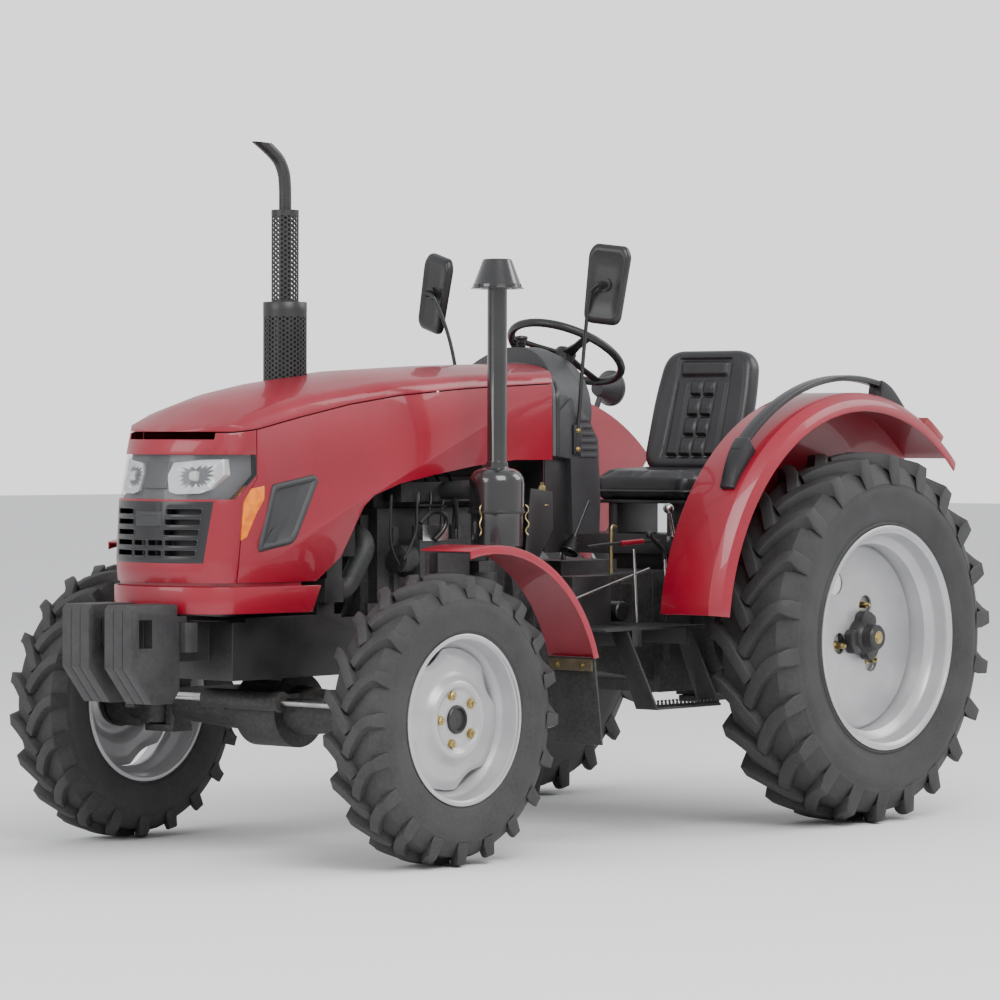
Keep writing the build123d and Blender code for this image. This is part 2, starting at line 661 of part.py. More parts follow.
def transmission():
    """Clutch and gear housing, the centre housing of the rear axle and its cover ribs."""
    w = GEARBOX_HALF_WIDTH
    front = ENGINE_REAR_X - BELL_LENGTH
    profile = [(front, GEARBOX_TOP - 20), (front, 600), (front - 90, 560), (GEARBOX_REAR_X, GEARBOX_BOTTOM),
               (GEARBOX_REAR_X, GEARBOX_TOP), (front - 120, GEARBOX_TOP - 20)]
    body = side_plate(profile, (-w, w))
    body += block((CENTRE_REAR_X, GEARBOX_REAR_X), (-CENTRE_HALF_WIDTH, CENTRE_HALF_WIDTH),
                  (CENTRE_BOTTOM, CENTRE_TOP))
    for x in (front - 12, GEARBOX_REAR_X + 160, GEARBOX_REAR_X - 24):
        body += block((x - 12, x + 12), (-CENTRE_HALF_WIDTH - 14, CENTRE_HALF_WIDTH + 14),
                      (CENTRE_BOTTOM + 110, CENTRE_TOP - 40))
    body += block((GEARBOX_REAR_X + 120, GEARBOX_REAR_X + 420), (-90, 90),
                  (GEARBOX_TOP - 25, GEARBOX_TOP + 40))
    body += block((front - 260, front - 150), (-w + 40, w - 60), (FRONT_AXLE_Z - 60, 560))
    return body


def lift_housing():
    """The hydraulic lift's cover on the rear axle and the bosses of its rockshaft."""
    z = CENTRE_TOP
    body = block((CENTRE_REAR_X + 10, 180), (-150, 150), (z, z + 60))
    body += block((ROCKSHAFT_X - 60, 110), (-110, 110), (z + 58, z + 110))
    body += bar((ROCKSHAFT_X, -LIFT_ARM_Y + 22, ROCKSHAFT_Z), (ROCKSHAFT_X, LIFT_ARM_Y - 22, ROCKSHAFT_Z),
                96)
    body -= bar((ROCKSHAFT_X, -400, ROCKSHAFT_Z), (ROCKSHAFT_X, 400, ROCKSHAFT_Z),
                ROCKSHAFT_DIAMETER + 2 * KINGPIN_GAP)
    ears = block((TOP_LINK_PIVOT_X - 26, CENTRE_REAR_X), (28, 42),
                 (TOP_LINK_PIVOT_Z - 30, TOP_LINK_PIVOT_Z + 30))
    bracket = block((CENTRE_REAR_X - 12, CENTRE_REAR_X), (-60, 60),
                    (TOP_LINK_PIVOT_Z - 50, TOP_LINK_PIVOT_Z + 48))
    ears = ears + mirror(ears, Plane.XZ) + bracket
    ears -= bar((TOP_LINK_PIVOT_X, -60, TOP_LINK_PIVOT_Z), (TOP_LINK_PIVOT_X, 60, TOP_LINK_PIVOT_Z),
                PIN_DIAMETER)
    ears += bar((TOP_LINK_PIVOT_X, -50, TOP_LINK_PIVOT_Z), (TOP_LINK_PIVOT_X, 50, TOP_LINK_PIVOT_Z),
                PIN_DIAMETER - 0.6)
    return Compound(list(body.solids()) + list(ears.solids()))


def front_frame():
    """The front support: two rails, cross plates, the pivot's saddle and the weights' beam."""
    rails = block((ENGINE_FRONT_X + 70, FRAME_FRONT_X), (FRAME_HALF_WIDTH - FRAME_RAIL, FRAME_HALF_WIDTH),
                  (FRAME_BOTTOM, FRAME_TOP))
    rails += block((ENGINE_FRONT_X - 120, ENGINE_FRONT_X + 76), (ENGINE_HALF_WIDTH + 12, FRAME_HALF_WIDTH),
                   (FRAME_BOTTOM + 120, FRAME_TOP + 40))
    frame = rails + mirror(rails, Plane.XZ)
    for x in (WHEELBASE - 110, WHEELBASE + 75):
        frame += block((x, x + 35), (-FRAME_HALF_WIDTH, FRAME_HALF_WIDTH), (FRAME_BOTTOM + 20, FRAME_TOP))
    frame += block((FRAME_FRONT_X - 40, FRAME_FRONT_X), (-FRAME_HALF_WIDTH, FRAME_HALF_WIDTH),
                   (FRAME_BOTTOM, FRAME_TOP))
    frame += block((FRAME_FRONT_X - 2, WEIGHT_REAR_X), (-90, 90), (FRAME_TOP - 120, FRAME_TOP))
    frame += block((RADIATOR_X - 40, FRAME_FRONT_X - 60), (-FRAME_HALF_WIDTH, FRAME_HALF_WIDTH),
                   (FRAME_TOP, FRAME_TOP + 12))
    frame += block((RADIATOR_X - 8, RADIATOR_X + RADIATOR_THICKNESS), (-FRAME_HALF_WIDTH, FRAME_HALF_WIDTH),
                   (FRAME_TOP + 12, RADIATOR_BOTTOM))
    return frame


def front_weights():
    """The bar across the front and the suitcase weights that hang on it in two groups."""
    beam_top = SKIRT_BOTTOM - 24
    beam = block((WEIGHT_REAR_X, WEIGHT_REAR_X + 52), (-170, 170), (beam_top - 90, beam_top))
    x0, x1 = WEIGHT_REAR_X + 66, WEIGHT_FRONT_X
    hook_top = SKIRT_BOTTOM - 5
    outline = [(x0 - 40, hook_top), (x0, hook_top), (x0, WEIGHT_TOP), (x1 - 14, WEIGHT_TOP),
               (x1, WEIGHT_TOP - 14),
               (x1, WEIGHT_BOTTOM + 110), (x1 - 90, WEIGHT_BOTTOM), (x0 + 20, WEIGHT_BOTTOM),
               (x0 - 10, WEIGHT_BOTTOM + 40), (x0 - 10, beam_top), (x0 - 40, beam_top)]
    slot = [(x1 - 90, WEIGHT_TOP - 130), (x1 - 34, WEIGHT_TOP - 130), (x1 - 34, WEIGHT_TOP - 44),
            (x1 - 90, WEIGHT_TOP - 44)]
    weights = [beam]
    for step in range(WEIGHTS_PER_SIDE):
        y = WEIGHT_FIRST_Y + step * WEIGHT_PITCH
        plate = side_plate(outline,
                           (y, y + WEIGHT_THICKNESS)) - side_plate(slot, (y - 1, y + WEIGHT_THICKNESS + 1))
        weights += [plate, mirror(plate, Plane.XZ)]
    return Compound([solid for piece in weights for solid in piece.solids()])


def drive_shaft():
    """The covered shaft from the transfer case to the front differential."""
    rear = ENGINE_REAR_X - BELL_LENGTH - 150
    return bar((rear, 0, FRONT_AXLE_Z), (WHEELBASE - 190, 0, FRONT_AXLE_Z), DRIVE_SHAFT_DIAMETER)


# ---------------------------------------------------------------- exhaust and intake
def silencer():
    """Exhaust: the pipe up through the bonnet, bent forward at its tip and cut level."""
    points = [(STACK_X, STACK_Y, ENGINE_DECK_Z + 260), (STACK_X, STACK_Y, STACK_BEND_Z + 20),
              (STACK_TIP_X, STACK_Y, STACK_TIP_Z + 20)]
    pipe_run = pipe(points, [STACK_BEND], STACK_DIAMETER)
    tip = block((STACK_TIP_X - 120, STACK_TIP_X + 120), (STACK_Y - 60, STACK_Y + 60),
                (STACK_TIP_Z, STACK_TIP_Z + 90))
    body = bar((STACK_X, STACK_Y, ENGINE_DECK_Z + 262), (STACK_X, STACK_Y, GUARD_SPLIT_Z - 30), 112)
    return (pipe_run - tip) + body


def silencer_guards():
    """The two perforated sleeves round the silencer and its pipe."""
    base = hood_crown(STACK_X) - 30
    lower = tube((STACK_X, STACK_Y, base), (STACK_X, STACK_Y, GUARD_SPLIT_Z), LOWER_GUARD_DIAMETER,
                 GUARD_WALL)
    cap = tube((STACK_X, STACK_Y, GUARD_SPLIT_Z - 3), (STACK_X, STACK_Y, GUARD_SPLIT_Z),
               LOWER_GUARD_DIAMETER,
               (LOWER_GUARD_DIAMETER - STACK_DIAMETER) / 2)
    upper = tube((STACK_X, STACK_Y, GUARD_SPLIT_Z - 1), (STACK_X, STACK_Y, GUARD_TOP_Z),
                 UPPER_GUARD_DIAMETER, GUARD_WALL)
    rim = tube((STACK_X, STACK_Y, GUARD_TOP_Z - 3), (STACK_X, STACK_Y, GUARD_TOP_Z), UPPER_GUARD_DIAMETER,
               (UPPER_GUARD_DIAMETER - STACK_DIAMETER) / 2)
    return lower + cap + upper + rim


def air_cleaner():
    """Oil-bath air cleaner: bowl, clamped band, inlet pipe with its cap, outlet and bracket."""
    x, y, r = CLEANER_X, CLEANER_Y, CLEANER_DIAMETER / 2
    line = [(0, CLEANER_BOTTOM), (r - 20, CLEANER_BOTTOM), (r - 4, CLEANER_BOTTOM + 16),
            (r - 4, CLEANER_BOTTOM + 122),
            (r, CLEANER_BOTTOM + 122), (r, CLEANER_TOP - 26), (r - 26, CLEANER_TOP), (CLEANER_STACK / 2 + 4,
                                                                                      CLEANER_TOP + 2),
            (CLEANER_STACK / 2 + 4, CLEANER_TOP + 16), (CLEANER_STACK / 2, CLEANER_TOP + 16),
            (CLEANER_STACK / 2, CAP_BOTTOM), (CAP_DIAMETER / 2, CAP_BOTTOM), (CAP_DIAMETER / 2,
                                                                              CAP_BOTTOM + 16),
            (CAP_DIAMETER / 2 - 8, CAP_BOTTOM + 16), (CAP_CROWN / 2, CAP_TOP), (0, CAP_TOP)]
    face = make_face(Polyline(*[(radius, 0, z) for radius, z in line], close=True))
    body = Pos(x, y, 0) * revolve(face, Axis.Z)
    body += bar((x, y - 20, CLEANER_TOP - 70), (x, ENGINE_HALF_WIDTH + 48, CLEANER_TOP - 70), 60)
    return body


# ---------------------------------------------------------------- bonnet and nose
def hood_crown(x):
    """Height of the bonnet's crown at a station, between the sections."""
    for (x0, *_, z0), (x1, *_, z1) in zip(HOOD_SECTIONS, HOOD_SECTIONS[1:]):
        if x0 <= x <= x1:
            return z0 + (z1 - z0) * (x - x0) / (x1 - x0)
    return HOOD_SECTIONS[-1][-1]


def hood_section(x, half_base, half_seam, z_seam, z_crown, inset, base):
    """One cross-section of the bonnet: sides, rounded shoulders and crown."""
    rise = z_crown - z_seam
    ws, zs, zc = half_seam - inset, z_seam - inset, z_crown - inset
    shoulder = (ws - 45, zs + 0.62 * rise)
    middle = (ws - 11, zs + 0.36 * rise)
    wb = half_base - inset
    edges = [
        Line((x, -wb, base), (x, -ws, zs)),
        ThreePointArc((x, -ws, zs), (x, -middle[0], middle[1]), (x, -shoulder[0], shoulder[1])),
        ThreePointArc((x, -shoulder[0], shoulder[1]), (x, 0, zc), (x, shoulder[0], shoulder[1])),
        ThreePointArc((x, shoulder[0], shoulder[1]), (x, middle[0], middle[1]), (x, ws, zs)),
        Line((x, ws, zs), (x, wb, base)),
        Line((x, wb, base), (x, -wb, base)),
    ]
    return make_face(Curve(children=edges).edges())


def nose_outline(z, shift, inset):
    """The nose in plan at one height, from the flanks round the corners to the rounded front."""
    tip, corner_x, side_x = (value + shift - inset for value in (NOSE_TIP_X, NOSE_CORNER_X, NOSE_SIDE_X))
    corner_y, side_y = NOSE_CORNER_Y - 0.6 * inset, NOSE_SIDE_Y - inset
    flank_x, flank_y = NOSE_FLANK_X + shift, NOSE_FLANK_Y - inset
    back = HOOD_SECTIONS[0][0] - 40
    mid_x = (corner_x + side_x) / 2 + 8
    mid_y = (corner_y + side_y) / 2 + 4
    edges = [
        Line((back, -flank_y, z), (flank_x, -flank_y, z)),
        Line((flank_x, -flank_y, z), (side_x, -side_y, z)),
        ThreePointArc((side_x, -side_y, z), (mid_x, -mid_y, z), (corner_x, -corner_y, z)),
        ThreePointArc((corner_x, -corner_y, z), (tip, 0, z), (corner_x, corner_y, z)),
        ThreePointArc((corner_x, corner_y, z), (mid_x, mid_y, z), (side_x, side_y, z)),
        Line((side_x, side_y, z), (flank_x, flank_y, z)),
        Line((flank_x, flank_y, z), (back, flank_y, z)),
        Line((back, flank_y, z), (back, -flank_y, z)),
    ]
    return make_face(Curve(children=edges).edges())


def body_form(inset):
    """The bonnet and nose as one solid form, moved in by a distance from the outer surface."""
    base = SKIRT_BOTTOM - 10
    arch = loft([hood_section(*row, inset, base) for row in HOOD_SECTIONS], ruled=True)
    plan = loft([nose_outline(z, shift, inset) for z, shift in NOSE_BULGE], ruled=True)
    return arch & plan


def above_seam(gap):
    """Everything over the seam line, raised by a gap."""
    points = [(x, z + gap) for x, z in SEAM_LINE]
    return side_plate(points + [(points[-1][0], FAR), (points[0][0], FAR)], (-FAR, FAR))


def ahead_of_nose_seam(gap):
    """Everything ahead of the seam between the nose and the side panels."""
    points = [(x + gap, z) for x, z in NOSE_SEAM]
    return side_plate([(points[0][0], FAR)] + points + [(points[-1][0], 0), (FAR, 0), (FAR, FAR)],
                      (-FAR, FAR))


def hood_rear_cut():
    """Everything behind the bonnet's curved rear edge."""
    side = NOSE_FLANK_Y + SHEET
    edges = [
        ThreePointArc((HOOD_REAR_SIDE_X, -side, 0), (HOOD_REAR_X, 0, 0), (HOOD_REAR_SIDE_X, side, 0)),
        Line((HOOD_REAR_SIDE_X, side, 0), (0, side, 0)),
        Line((0, side, 0), (0, -side, 0)),
        Line((0, -side, 0), (HOOD_REAR_SIDE_X, -side, 0)),
    ]
    return extrude(make_face(Curve(children=edges).edges()), FAR, dir=(0, 0, 1))


def bodywork():
    """The bonnet's top and sides, the nose, the skirt and what fits in them, from one form."""
    outer = body_form(0)
    shell = outer - body_form(SHEET)
    rear = hood_rear_cut()
    hole = bar((STACK_X, STACK_Y, HOOD_BASE), (STACK_X, STACK_Y, FAR),
               LOWER_GUARD_DIAMETER + 2 * STACK_HOLE_CLEAR)
    lamps = side_plate(SIDE_LAMP, (-FAR, FAR)) - ahead_of_nose_seam(-SEAM)
    vents = side_plate(SIDE_VENT, (-FAR, FAR))
    side_region = side_plate(list(SIDE_EDGE) + [(SIDE_EDGE[-1][0], FAR), (FAR, FAR), (FAR, HOOD_BASE)],
                             (-FAR, FAR))
    side_region = side_region - above_seam(0) - ahead_of_nose_seam(-SEAM) - rear - lamps - vents
    slot = block((NOSE_FLANK_X, FAR), (-SLOT_HALF_WIDTH, SLOT_HALF_WIDTH),
                 (SEAM_LINE[-1][1] - SLOT_HEIGHT, FAR))
    nose_region = (ahead_of_nose_seam(0) & block((0, FAR), (-FAR, FAR), (HOOD_BASE, FAR))) - above_seam(0)
    nose_region = nose_region - slot - grille_window() - lamp_window()
    inside = block((0, NOSE_TIP_X), (-NOSE_SIDE_Y + LAMP_DEPTH, NOSE_SIDE_Y - LAMP_DEPTH), (0, FAR))
    return {
        "hood_top": shell & (above_seam(SEAM) - rear - hole),
        "hood_sides": shell & side_region,
        "nose_panel": shell & nose_region,
        "grille": grille(outer & (grille_window() - nose_prism(GRILLE_DEPTH))),
        "headlamps": outer & (lamp_window() - block((0, NOSE_SEAM[0][0]), (-FAR, FAR), (0, FAR))),
        "side_lamps": outer & (lamps - inside),
        "side_vents": outer & (vents - inside),
        "skirt": skirt(),
    }


def nose_prism(inset):
    """An upright prism on the nose's outline, moved in by a distance."""
    shift = NOSE_BULGE[1][1]
    return extrude(nose_outline(0, shift, inset), FAR, dir=(0, 0, 1))


def skirt():
    """The band round the foot of the nose, standing proud of the panels over it."""
    region = side_plate([(SKIRT_REAR_X, SKIRT_TOP), (FAR, SKIRT_TOP), (FAR, SKIRT_BOTTOM),
                         (SKIRT_REAR_X + 40, SKIRT_BOTTOM)], (-FAR, FAR))
    return (nose_prism(-SKIRT_PROUD) - nose_prism(SHEET - SKIRT_PROUD)) & region


def lamp_window():
    """The band across the nose that the lamps fill."""
    band = block((NOSE_FLANK_X, FAR), (-FAR, FAR), (LAMP_BOTTOM, LAMP_TOP))
    seam_x = NOSE_SEAM[0][0] + SEAM
    ends = side_plate([(NOSE_FLANK_X, FAR), (seam_x, FAR), (seam_x, LAMP_CORNER_Z),
                       (NOSE_SEAM[-1][0], LAMP_BOTTOM),
                       (NOSE_FLANK_X, LAMP_BOTTOM - SLOT_HEIGHT)], (-FAR, FAR))
    return band - ends


def grille_window():
    """The grille's opening, narrower at its foot."""
    t, b = GRILLE_HALF_TOP, GRILLE_HALF_BOTTOM
    points = [(-t, GRILLE_TOP), (t, GRILLE_TOP), (b, GRILLE_BOTTOM), (-b, GRILLE_BOTTOM)]
    face = make_face(Polyline(*[(NOSE_SIDE_X, y, z) for y, z in points], close=True))
    return extrude(face, FAR, dir=(1, 0, 0))


def grille(slab):
    """Grille: a frame with rows of slots between horizontal bars and a blank middle plate."""
    pitch = (GRILLE_TOP - GRILLE_BOTTOM - 2 * GRILLE_BAR) / len(GRILLE_SLOTS)
    half = GRILLE_HALF_BOTTOM - GRILLE_BAR
    for row, slots in enumerate(GRILLE_SLOTS):
        low = GRILLE_BOTTOM + GRILLE_BAR + row * pitch
        for inner, outer in slots:
            start = inner if inner > 1 else inner * half
            slot = block((NOSE_SIDE_X, FAR), (start, outer * half + 3 * row), (low + 6, low + pitch - 8))
            slab = slab - slot - mirror(slot, Plane.XZ)
    return slab


# ---------------------------------------------------------------- driver's station
def dash_cowl():
    """The moulded cowl behind the bonnet, its side panels and the column's opening."""
    sections = []
    for x, half, shoulder_z, crown_z in COWL_SECTIONS:
        edges = [
            Line((x, -half, COWL_BASE), (x, -half, shoulder_z)),
            ThreePointArc((x, -half, shoulder_z), (x, 0, crown_z), (x, half, shoulder_z)),
            Line((x, half, shoulder_z), (x, half, COWL_BASE)),
            Line((x, half, COWL_BASE), (x, -half, COWL_BASE)),
        ]
        sections.append(make_face(Curve(children=edges).edges()))
    pod = loft(sections, ruled=True) & (Pos(-COWL_GAP, 0, 0) * hood_rear_cut())
    face = COWL_PANEL_Y + COWL_PANEL_DEPTH
    panel = side_plate(COWL_PANEL, (COWL_PANEL_Y - 30, face)) & (Pos(-COWL_GAP, 0, 0) * hood_rear_cut())
    for step in range(COWL_RIBS):
        top = COWL_RIB_TOP - step * COWL_RIB_PITCH
        panel += block((762 + 14 * max(0, 3 - step), 850), (face - 4, face + 5), (top - 10, top))
    pod += panel + mirror(panel, Plane.XZ)
    pod -= bar((WHEEL_HUB_X + 60, 0, WHEEL_HUB_Z - 100), (WHEEL_HUB_X + 280, 0, WHEEL_HUB_Z - 489), 80)
    return pod


def column_frame(distance):
    """A plane across the steering column, a distance below the wheel's hub."""
    axis = steering_axis()
    origin = Vector(WHEEL_HUB_X, 0, WHEEL_HUB_Z) - axis * distance
    return Plane(origin=origin,
                 x_dir=(math.cos(math.radians(WHEEL_TILT)), 0, math.sin(math.radians(WHEEL_TILT))),
                 z_dir=axis)


def steering_axis():
    """The column's axis, from the cowl up to the wheel."""
    lean = math.radians(WHEEL_TILT)
    return Vector(-math.sin(lean), 0, math.cos(lean))


def steering_column():
    """The column's jacket from the gear housing up to just under the wheel."""
    jacket = extrude(column_frame(520) * Circle(30), 430) - extrude(column_frame(160) * Circle(14.3), 80)
    foot = extrude(column_frame(560) * Circle(55), 50)
    return jacket + foot


def steering_wheel():
    """Steering wheel: grip ring, three spokes and the hub."""
    grip = Plane.XZ * Pos(WHEEL_DIAMETER / 2 - WHEEL_GRIP / 2, 0) * RegularPolygon(WHEEL_GRIP / 2,
                                                                                   GRIP_SIDES)
    ring = revolve(grip, Axis.Z)
    hub = Pos(0, 0, -22) * Cylinder(38, 50)
    wheel = ring + hub
    for step in range(SPOKES):
        reach = WHEEL_DIAMETER / 2 - WHEEL_GRIP / 2
        spoke = Pos(reach / 2, 0, -8) * Box(reach, 26, 9)
        wheel += Rot(0, 0, 360 / SPOKES * step + 180) * spoke
    shaft = Pos(0, 0, -70) * Cylinder(14, 60)
    return column_frame(0) * (wheel + shaft)


def mirrors():
    """Mirrors: bent arms from the cowl's sides, and the heads."""
    foot = (870.0, 260.0, 1330.0)
    arm = pipe([foot, (868, 266, 1390), (850, 300, 1640), (838, 318, 1800),
                (MIRROR_X - 4, MIRROR_Y - 40, MIRROR_Z)],
               [60, 40, 16], MIRROR_ARM)
    foot_plate = block((850, 890), (252, 262), (1250, 1350))
    head = RectangleRounded(MIRROR_WIDTH, MIRROR_HEIGHT, 26)
    plane = Plane(origin=(MIRROR_X, MIRROR_Y - 20, MIRROR_Z), x_dir=(-0.25, 1, 0), z_dir=(-1, -0.25, 0))
    left = arm + foot_plate + extrude(plane * head, MIRROR_THICKNESS)
    return both_sides(left)


def footplates():
    """Footplates each side of the gearbox, their brackets and the hung steps."""
    z = PLATFORM_Z
    left = block((PLATFORM_REAR_X, PLATFORM_FRONT_X), (GEARBOX_HALF_WIDTH + 60, PLATFORM_OUTER_Y),
                 (z - PLATFORM_THICKNESS, z))
    for x in (PLATFORM_REAR_X + 60, PLATFORM_FRONT_X - 190):
        left += block((x, x + 50), (GEARBOX_HALF_WIDTH, PLATFORM_OUTER_Y), (z - 60, z - PLATFORM_THICKNESS))
    box_y = GEARBOX_HALF_WIDTH + 118
    left += block((TOOL_BOX_X, TOOL_BOX_X + TOOL_BOX_LENGTH), (box_y, box_y + 80), (z, z + TOOL_BOX_HEIGHT))
    x0, x1 = STEP_CENTRE_X - STEP_LENGTH / 2, STEP_CENTRE_X + STEP_LENGTH / 2
    left += block((x0, x1), (STEP_Y - STEP_DEPTH / 2, STEP_Y + STEP_DEPTH / 2),
                  (STEP_Z - STEP_PLATE, STEP_Z))
    for x in (x0, x1 - STEP_PLATE):
        hanger = [(STEP_Y - STEP_DEPTH / 2, STEP_Z - STEP_PLATE),
                  (STEP_Y + STEP_DEPTH / 2, STEP_Z - STEP_PLATE),
                  (PLATFORM_OUTER_Y, z - 10), (PLATFORM_OUTER_Y - 70, z - 10)]
        face = make_face(Polyline(*[(x, y, height) for y, height in hanger], close=True))
        left += extrude(face, STEP_PLATE, dir=(1, 0, 0))
    return both_sides(left)


def fender_arc(radius, start, end):
    """Points of the rear fender's arc, as a three point arc's start, middle and end."""
    middle = (start + end) / 2
    return [(radius * math.cos(math.radians(a)), REAR_AXLE_Z + radius * math.sin(math.radians(a)))
            for a in (start, middle, end)]


def fender_band(outer, inner, start, end, y):
    """A curved band about the rear axle, between two radii and two angles."""
    a = [(x, y[0], z) for x, z in fender_arc(outer, start, end)]
    b = [(x, y[0], z) for x, z in fender_arc(inner, start, end)]
    edges = [ThreePointArc(*a), Line(a[2], b[2]), ThreePointArc(*reversed(b)), Line(b[0], a[0])]
    return extrude(make_face(Curve(children=edges).edges()), y[1] - y[0], dir=(0, 1, 0))


def rear_fenders():
    """Rear fenders: arched sheet with a chamfered shoulder turned about the axle, and the inner wall."""
    a0, a1 = FENDER_FRONT_ANGLE, FENDER_REAR_ANGLE
    start = math.radians(a1)
    outer = [(FENDER_INNER_Y + y, FENDER_RADIUS - drop) for y, drop in FENDER_SECTION]
    inner = [(y - (SHEET if y > FENDER_INNER_Y else 0), r - SHEET) for y, r in outer]
    rows = outer + inner[::-1]
    face = make_face(Polyline(*[(r * math.cos(start), y, REAR_AXLE_Z + r * math.sin(start)) for y,
                                r in rows], close=True))
    left = revolve(face, Axis((0, 0, REAR_AXLE_Z), (0, 1, 0)), a1 - a0)
    wall = fender_band(FENDER_RADIUS - 1, 300, a0, a1, (FENDER_INNER_Y, FENDER_INNER_Y + SHEET))
    left += wall - block((-900, 900), (500, 700), (300, PLATFORM_Z + 40))
    return both_sides(left)


def rail_centre_y():
    """How far out the left grab rail stands."""
    return (FENDER_INNER_Y + FENDER_OUTER_Y) / 2 + 30


def fender_rails():
    """The arched grab rails on the fenders' crests, standing on feet."""
    r = FENDER_RADIUS
    y = rail_centre_y()
    wide = (y - RAIL_WIDTH / 2, y + RAIL_WIDTH / 2)
    left = fender_band(r + RAIL_HEIGHT, r + RAIL_HEIGHT - RAIL_THICKNESS, 46, 102, wide)
    left += fender_band(r + RAIL_HEIGHT - 2, r, 42, 47, wide)
    left += fender_band(r + RAIL_HEIGHT - 2, r, 101, 106, wide)
    return both_sides(left)


def tail_lamps():
    """Tail lamps on the fenders' rear faces."""
    r = FENDER_RADIUS
    return both_sides(fender_band(r + 34, r, 120, 128, (FENDER_OUTER_Y - 130, FENDER_OUTER_Y - 50)))


def work_lamp():
    """The round work lamp on its stalk over the right fender, facing back."""
    x, y, z = WORK_LAMP_X, WORK_LAMP_Y, WORK_LAMP_Z
    lamp = taper((x - 40, y, z), (x + 34, y, z), WORK_LAMP_DIAMETER, 0.45 * WORK_LAMP_DIAMETER)
    lamp += bar((x - 52, y, z), (x - 40, y, z), WORK_LAMP_DIAMETER + 6)
    angle = math.atan2(z - REAR_AXLE_Z, x)
    crest = FENDER_RADIUS
    foot = (crest * math.cos(angle), y, REAR_AXLE_Z + crest * math.sin(angle))
    return lamp + bar(foot, (x, y, z), 22)


def seat_cushion():
    """The seat's cushion, rounded at its edges."""
    pad = block((CUSHION_REAR_X, CUSHION_FRONT_X), (-SEAT_HALF_WIDTH, SEAT_HALF_WIDTH),
                (CUSHION_BOTTOM, CUSHION_TOP))
    return fillet(pad.edges().filter_by(Axis.Y) + pad.edges().filter_by(Axis.Z), 34)


def seat_back():
    """The seat's back, leaning back over the cushion's rear edge."""
    pad = Box(BACK_THICKNESS, 2 * SEAT_HALF_WIDTH, BACK_LENGTH)
    pad = fillet(pad.edges().filter_by(Axis.X), 40)
    lift = BACK_LENGTH / 2
    return Pos(CUSHION_REAR_X + BACK_THICKNESS / 2 - 10, 0,
               CUSHION_TOP + 14) * (Rot(0, -BACK_RECLINE, 0) * (Pos(0, 0, lift) * pad))


def seat_mount():
    """The cross plate between the fenders, the seat's legs, pan and the back's bracket."""
    z = CROSS_Z
    mount = block((-30, 250), (-FENDER_INNER_Y, FENDER_INNER_Y), (z - 8, z))
    mount += block((242, 250), (-FENDER_INNER_Y, FENDER_INNER_Y), (z - 70, z))
    for y in (-150, 110):
        mount += block((-30, 200), (y, y + 40), (z, CUSHION_BOTTOM - 10))
    mount += block((CUSHION_REAR_X + 10, CUSHION_FRONT_X - 20), (-190, 190),
                   (CUSHION_BOTTOM - 12, CUSHION_BOTTOM))
    mount += side_plate([(-100, CUSHION_BOTTOM - 12), (-175, CUSHION_BOTTOM - 12), (-290, 1560),
                         (-265, 1560),
                         (-160, CUSHION_BOTTOM + 30), (CUSHION_REAR_X - 10, CUSHION_BOTTOM)], (-30, 30))
    return mount


def controls():
    """Levers and pedals round the driver's feet."""
    top = GEARBOX_TOP + 40
    bend = (GEARBOX_REAR_X + 300, 0, top + 60)
    knob = (GEARBOX_REAR_X + 180, 20, top + 260)
    gear = bar((bend[0], 0, top), (bend[0], 0, bend[2] + 6), 22) + bar(bend, knob, 16)
    gear += bar(knob, (knob[0] - 6, knob[1], knob[2] + 36), 38)
    pieces = [gear]
    for side in LUG_SIDES:
        foot = block((860, 940), (side * 225 - 35, side * 225 + 35), (PLATFORM_Z + 130, PLATFORM_Z + 142))
        foot += bar((900, side * 225, PLATFORM_Z + 132), (960, side * 225, PLATFORM_Z + 14), 18)
        foot += block((940, 980), (side * 225 - 20, side * 225 + 20), (PLATFORM_Z, PLATFORM_Z + 16))
        pieces.append(foot)
    for side in LUG_SIDES:
        lever = bar((430, side * 330, PLATFORM_Z + 247), (470, side * 330, PLATFORM_Z + 380), 14)
        lever += Pos(470, side * 330, PLATFORM_Z + 384) * Sphere(18)
        lever += block((400, 460), (side * 330 - 14, side * 330 + 14), (CROSS_Z - 20, CROSS_Z))
        pieces.append(lever)
    return Compound([solid for piece in pieces for solid in piece.solids()])


def front_fender_height(x):
    """Height of the front fender's line near its front end."""
    (x0, z0), (x1, z1), _ = front_fender_line()
    chord = z0 + (z1 - z0) * (x - x0) / (x1 - x0)
    return chord + 14


def front_fender_line():
    """The front fender's line as points (x, z)."""
    return [(WHEELBASE + x, FRONT_WHEEL.diameter + z) for x, z in FRONT_FENDER_LINE]


def front_fender():
    """Left front fender: curved sheet with a turned outer lip."""
    line = front_fender_line()

    def strip(depth, y):
        outer = [(x, y[0], z) for x, z in line]
        inner = [(line[0][0], y[0], line[0][1] - depth),
                 (line[1][0] + 0.6 * depth, y[0], line[1][1] - 0.85 * depth),
                 (line[2][0] + 0.97 * depth, y[0], line[2][1] - 0.1 * depth)]
        edges = [ThreePointArc(*outer), Line(outer[2], inner[2]), ThreePointArc(*reversed(inner)),
                 Line(inner[0], outer[0])]
        return extrude(make_face(Curve(children=edges).edges()), y[1] - y[0], dir=(0, 1, 0))
    sheet = strip(SHEET, (FRONT_FENDER_INNER_Y, FRONT_FENDER_OUTER_Y))
    return sheet + strip(FENDER_LIP - 8, (FRONT_FENDER_OUTER_Y - SHEET, FRONT_FENDER_OUTER_Y))


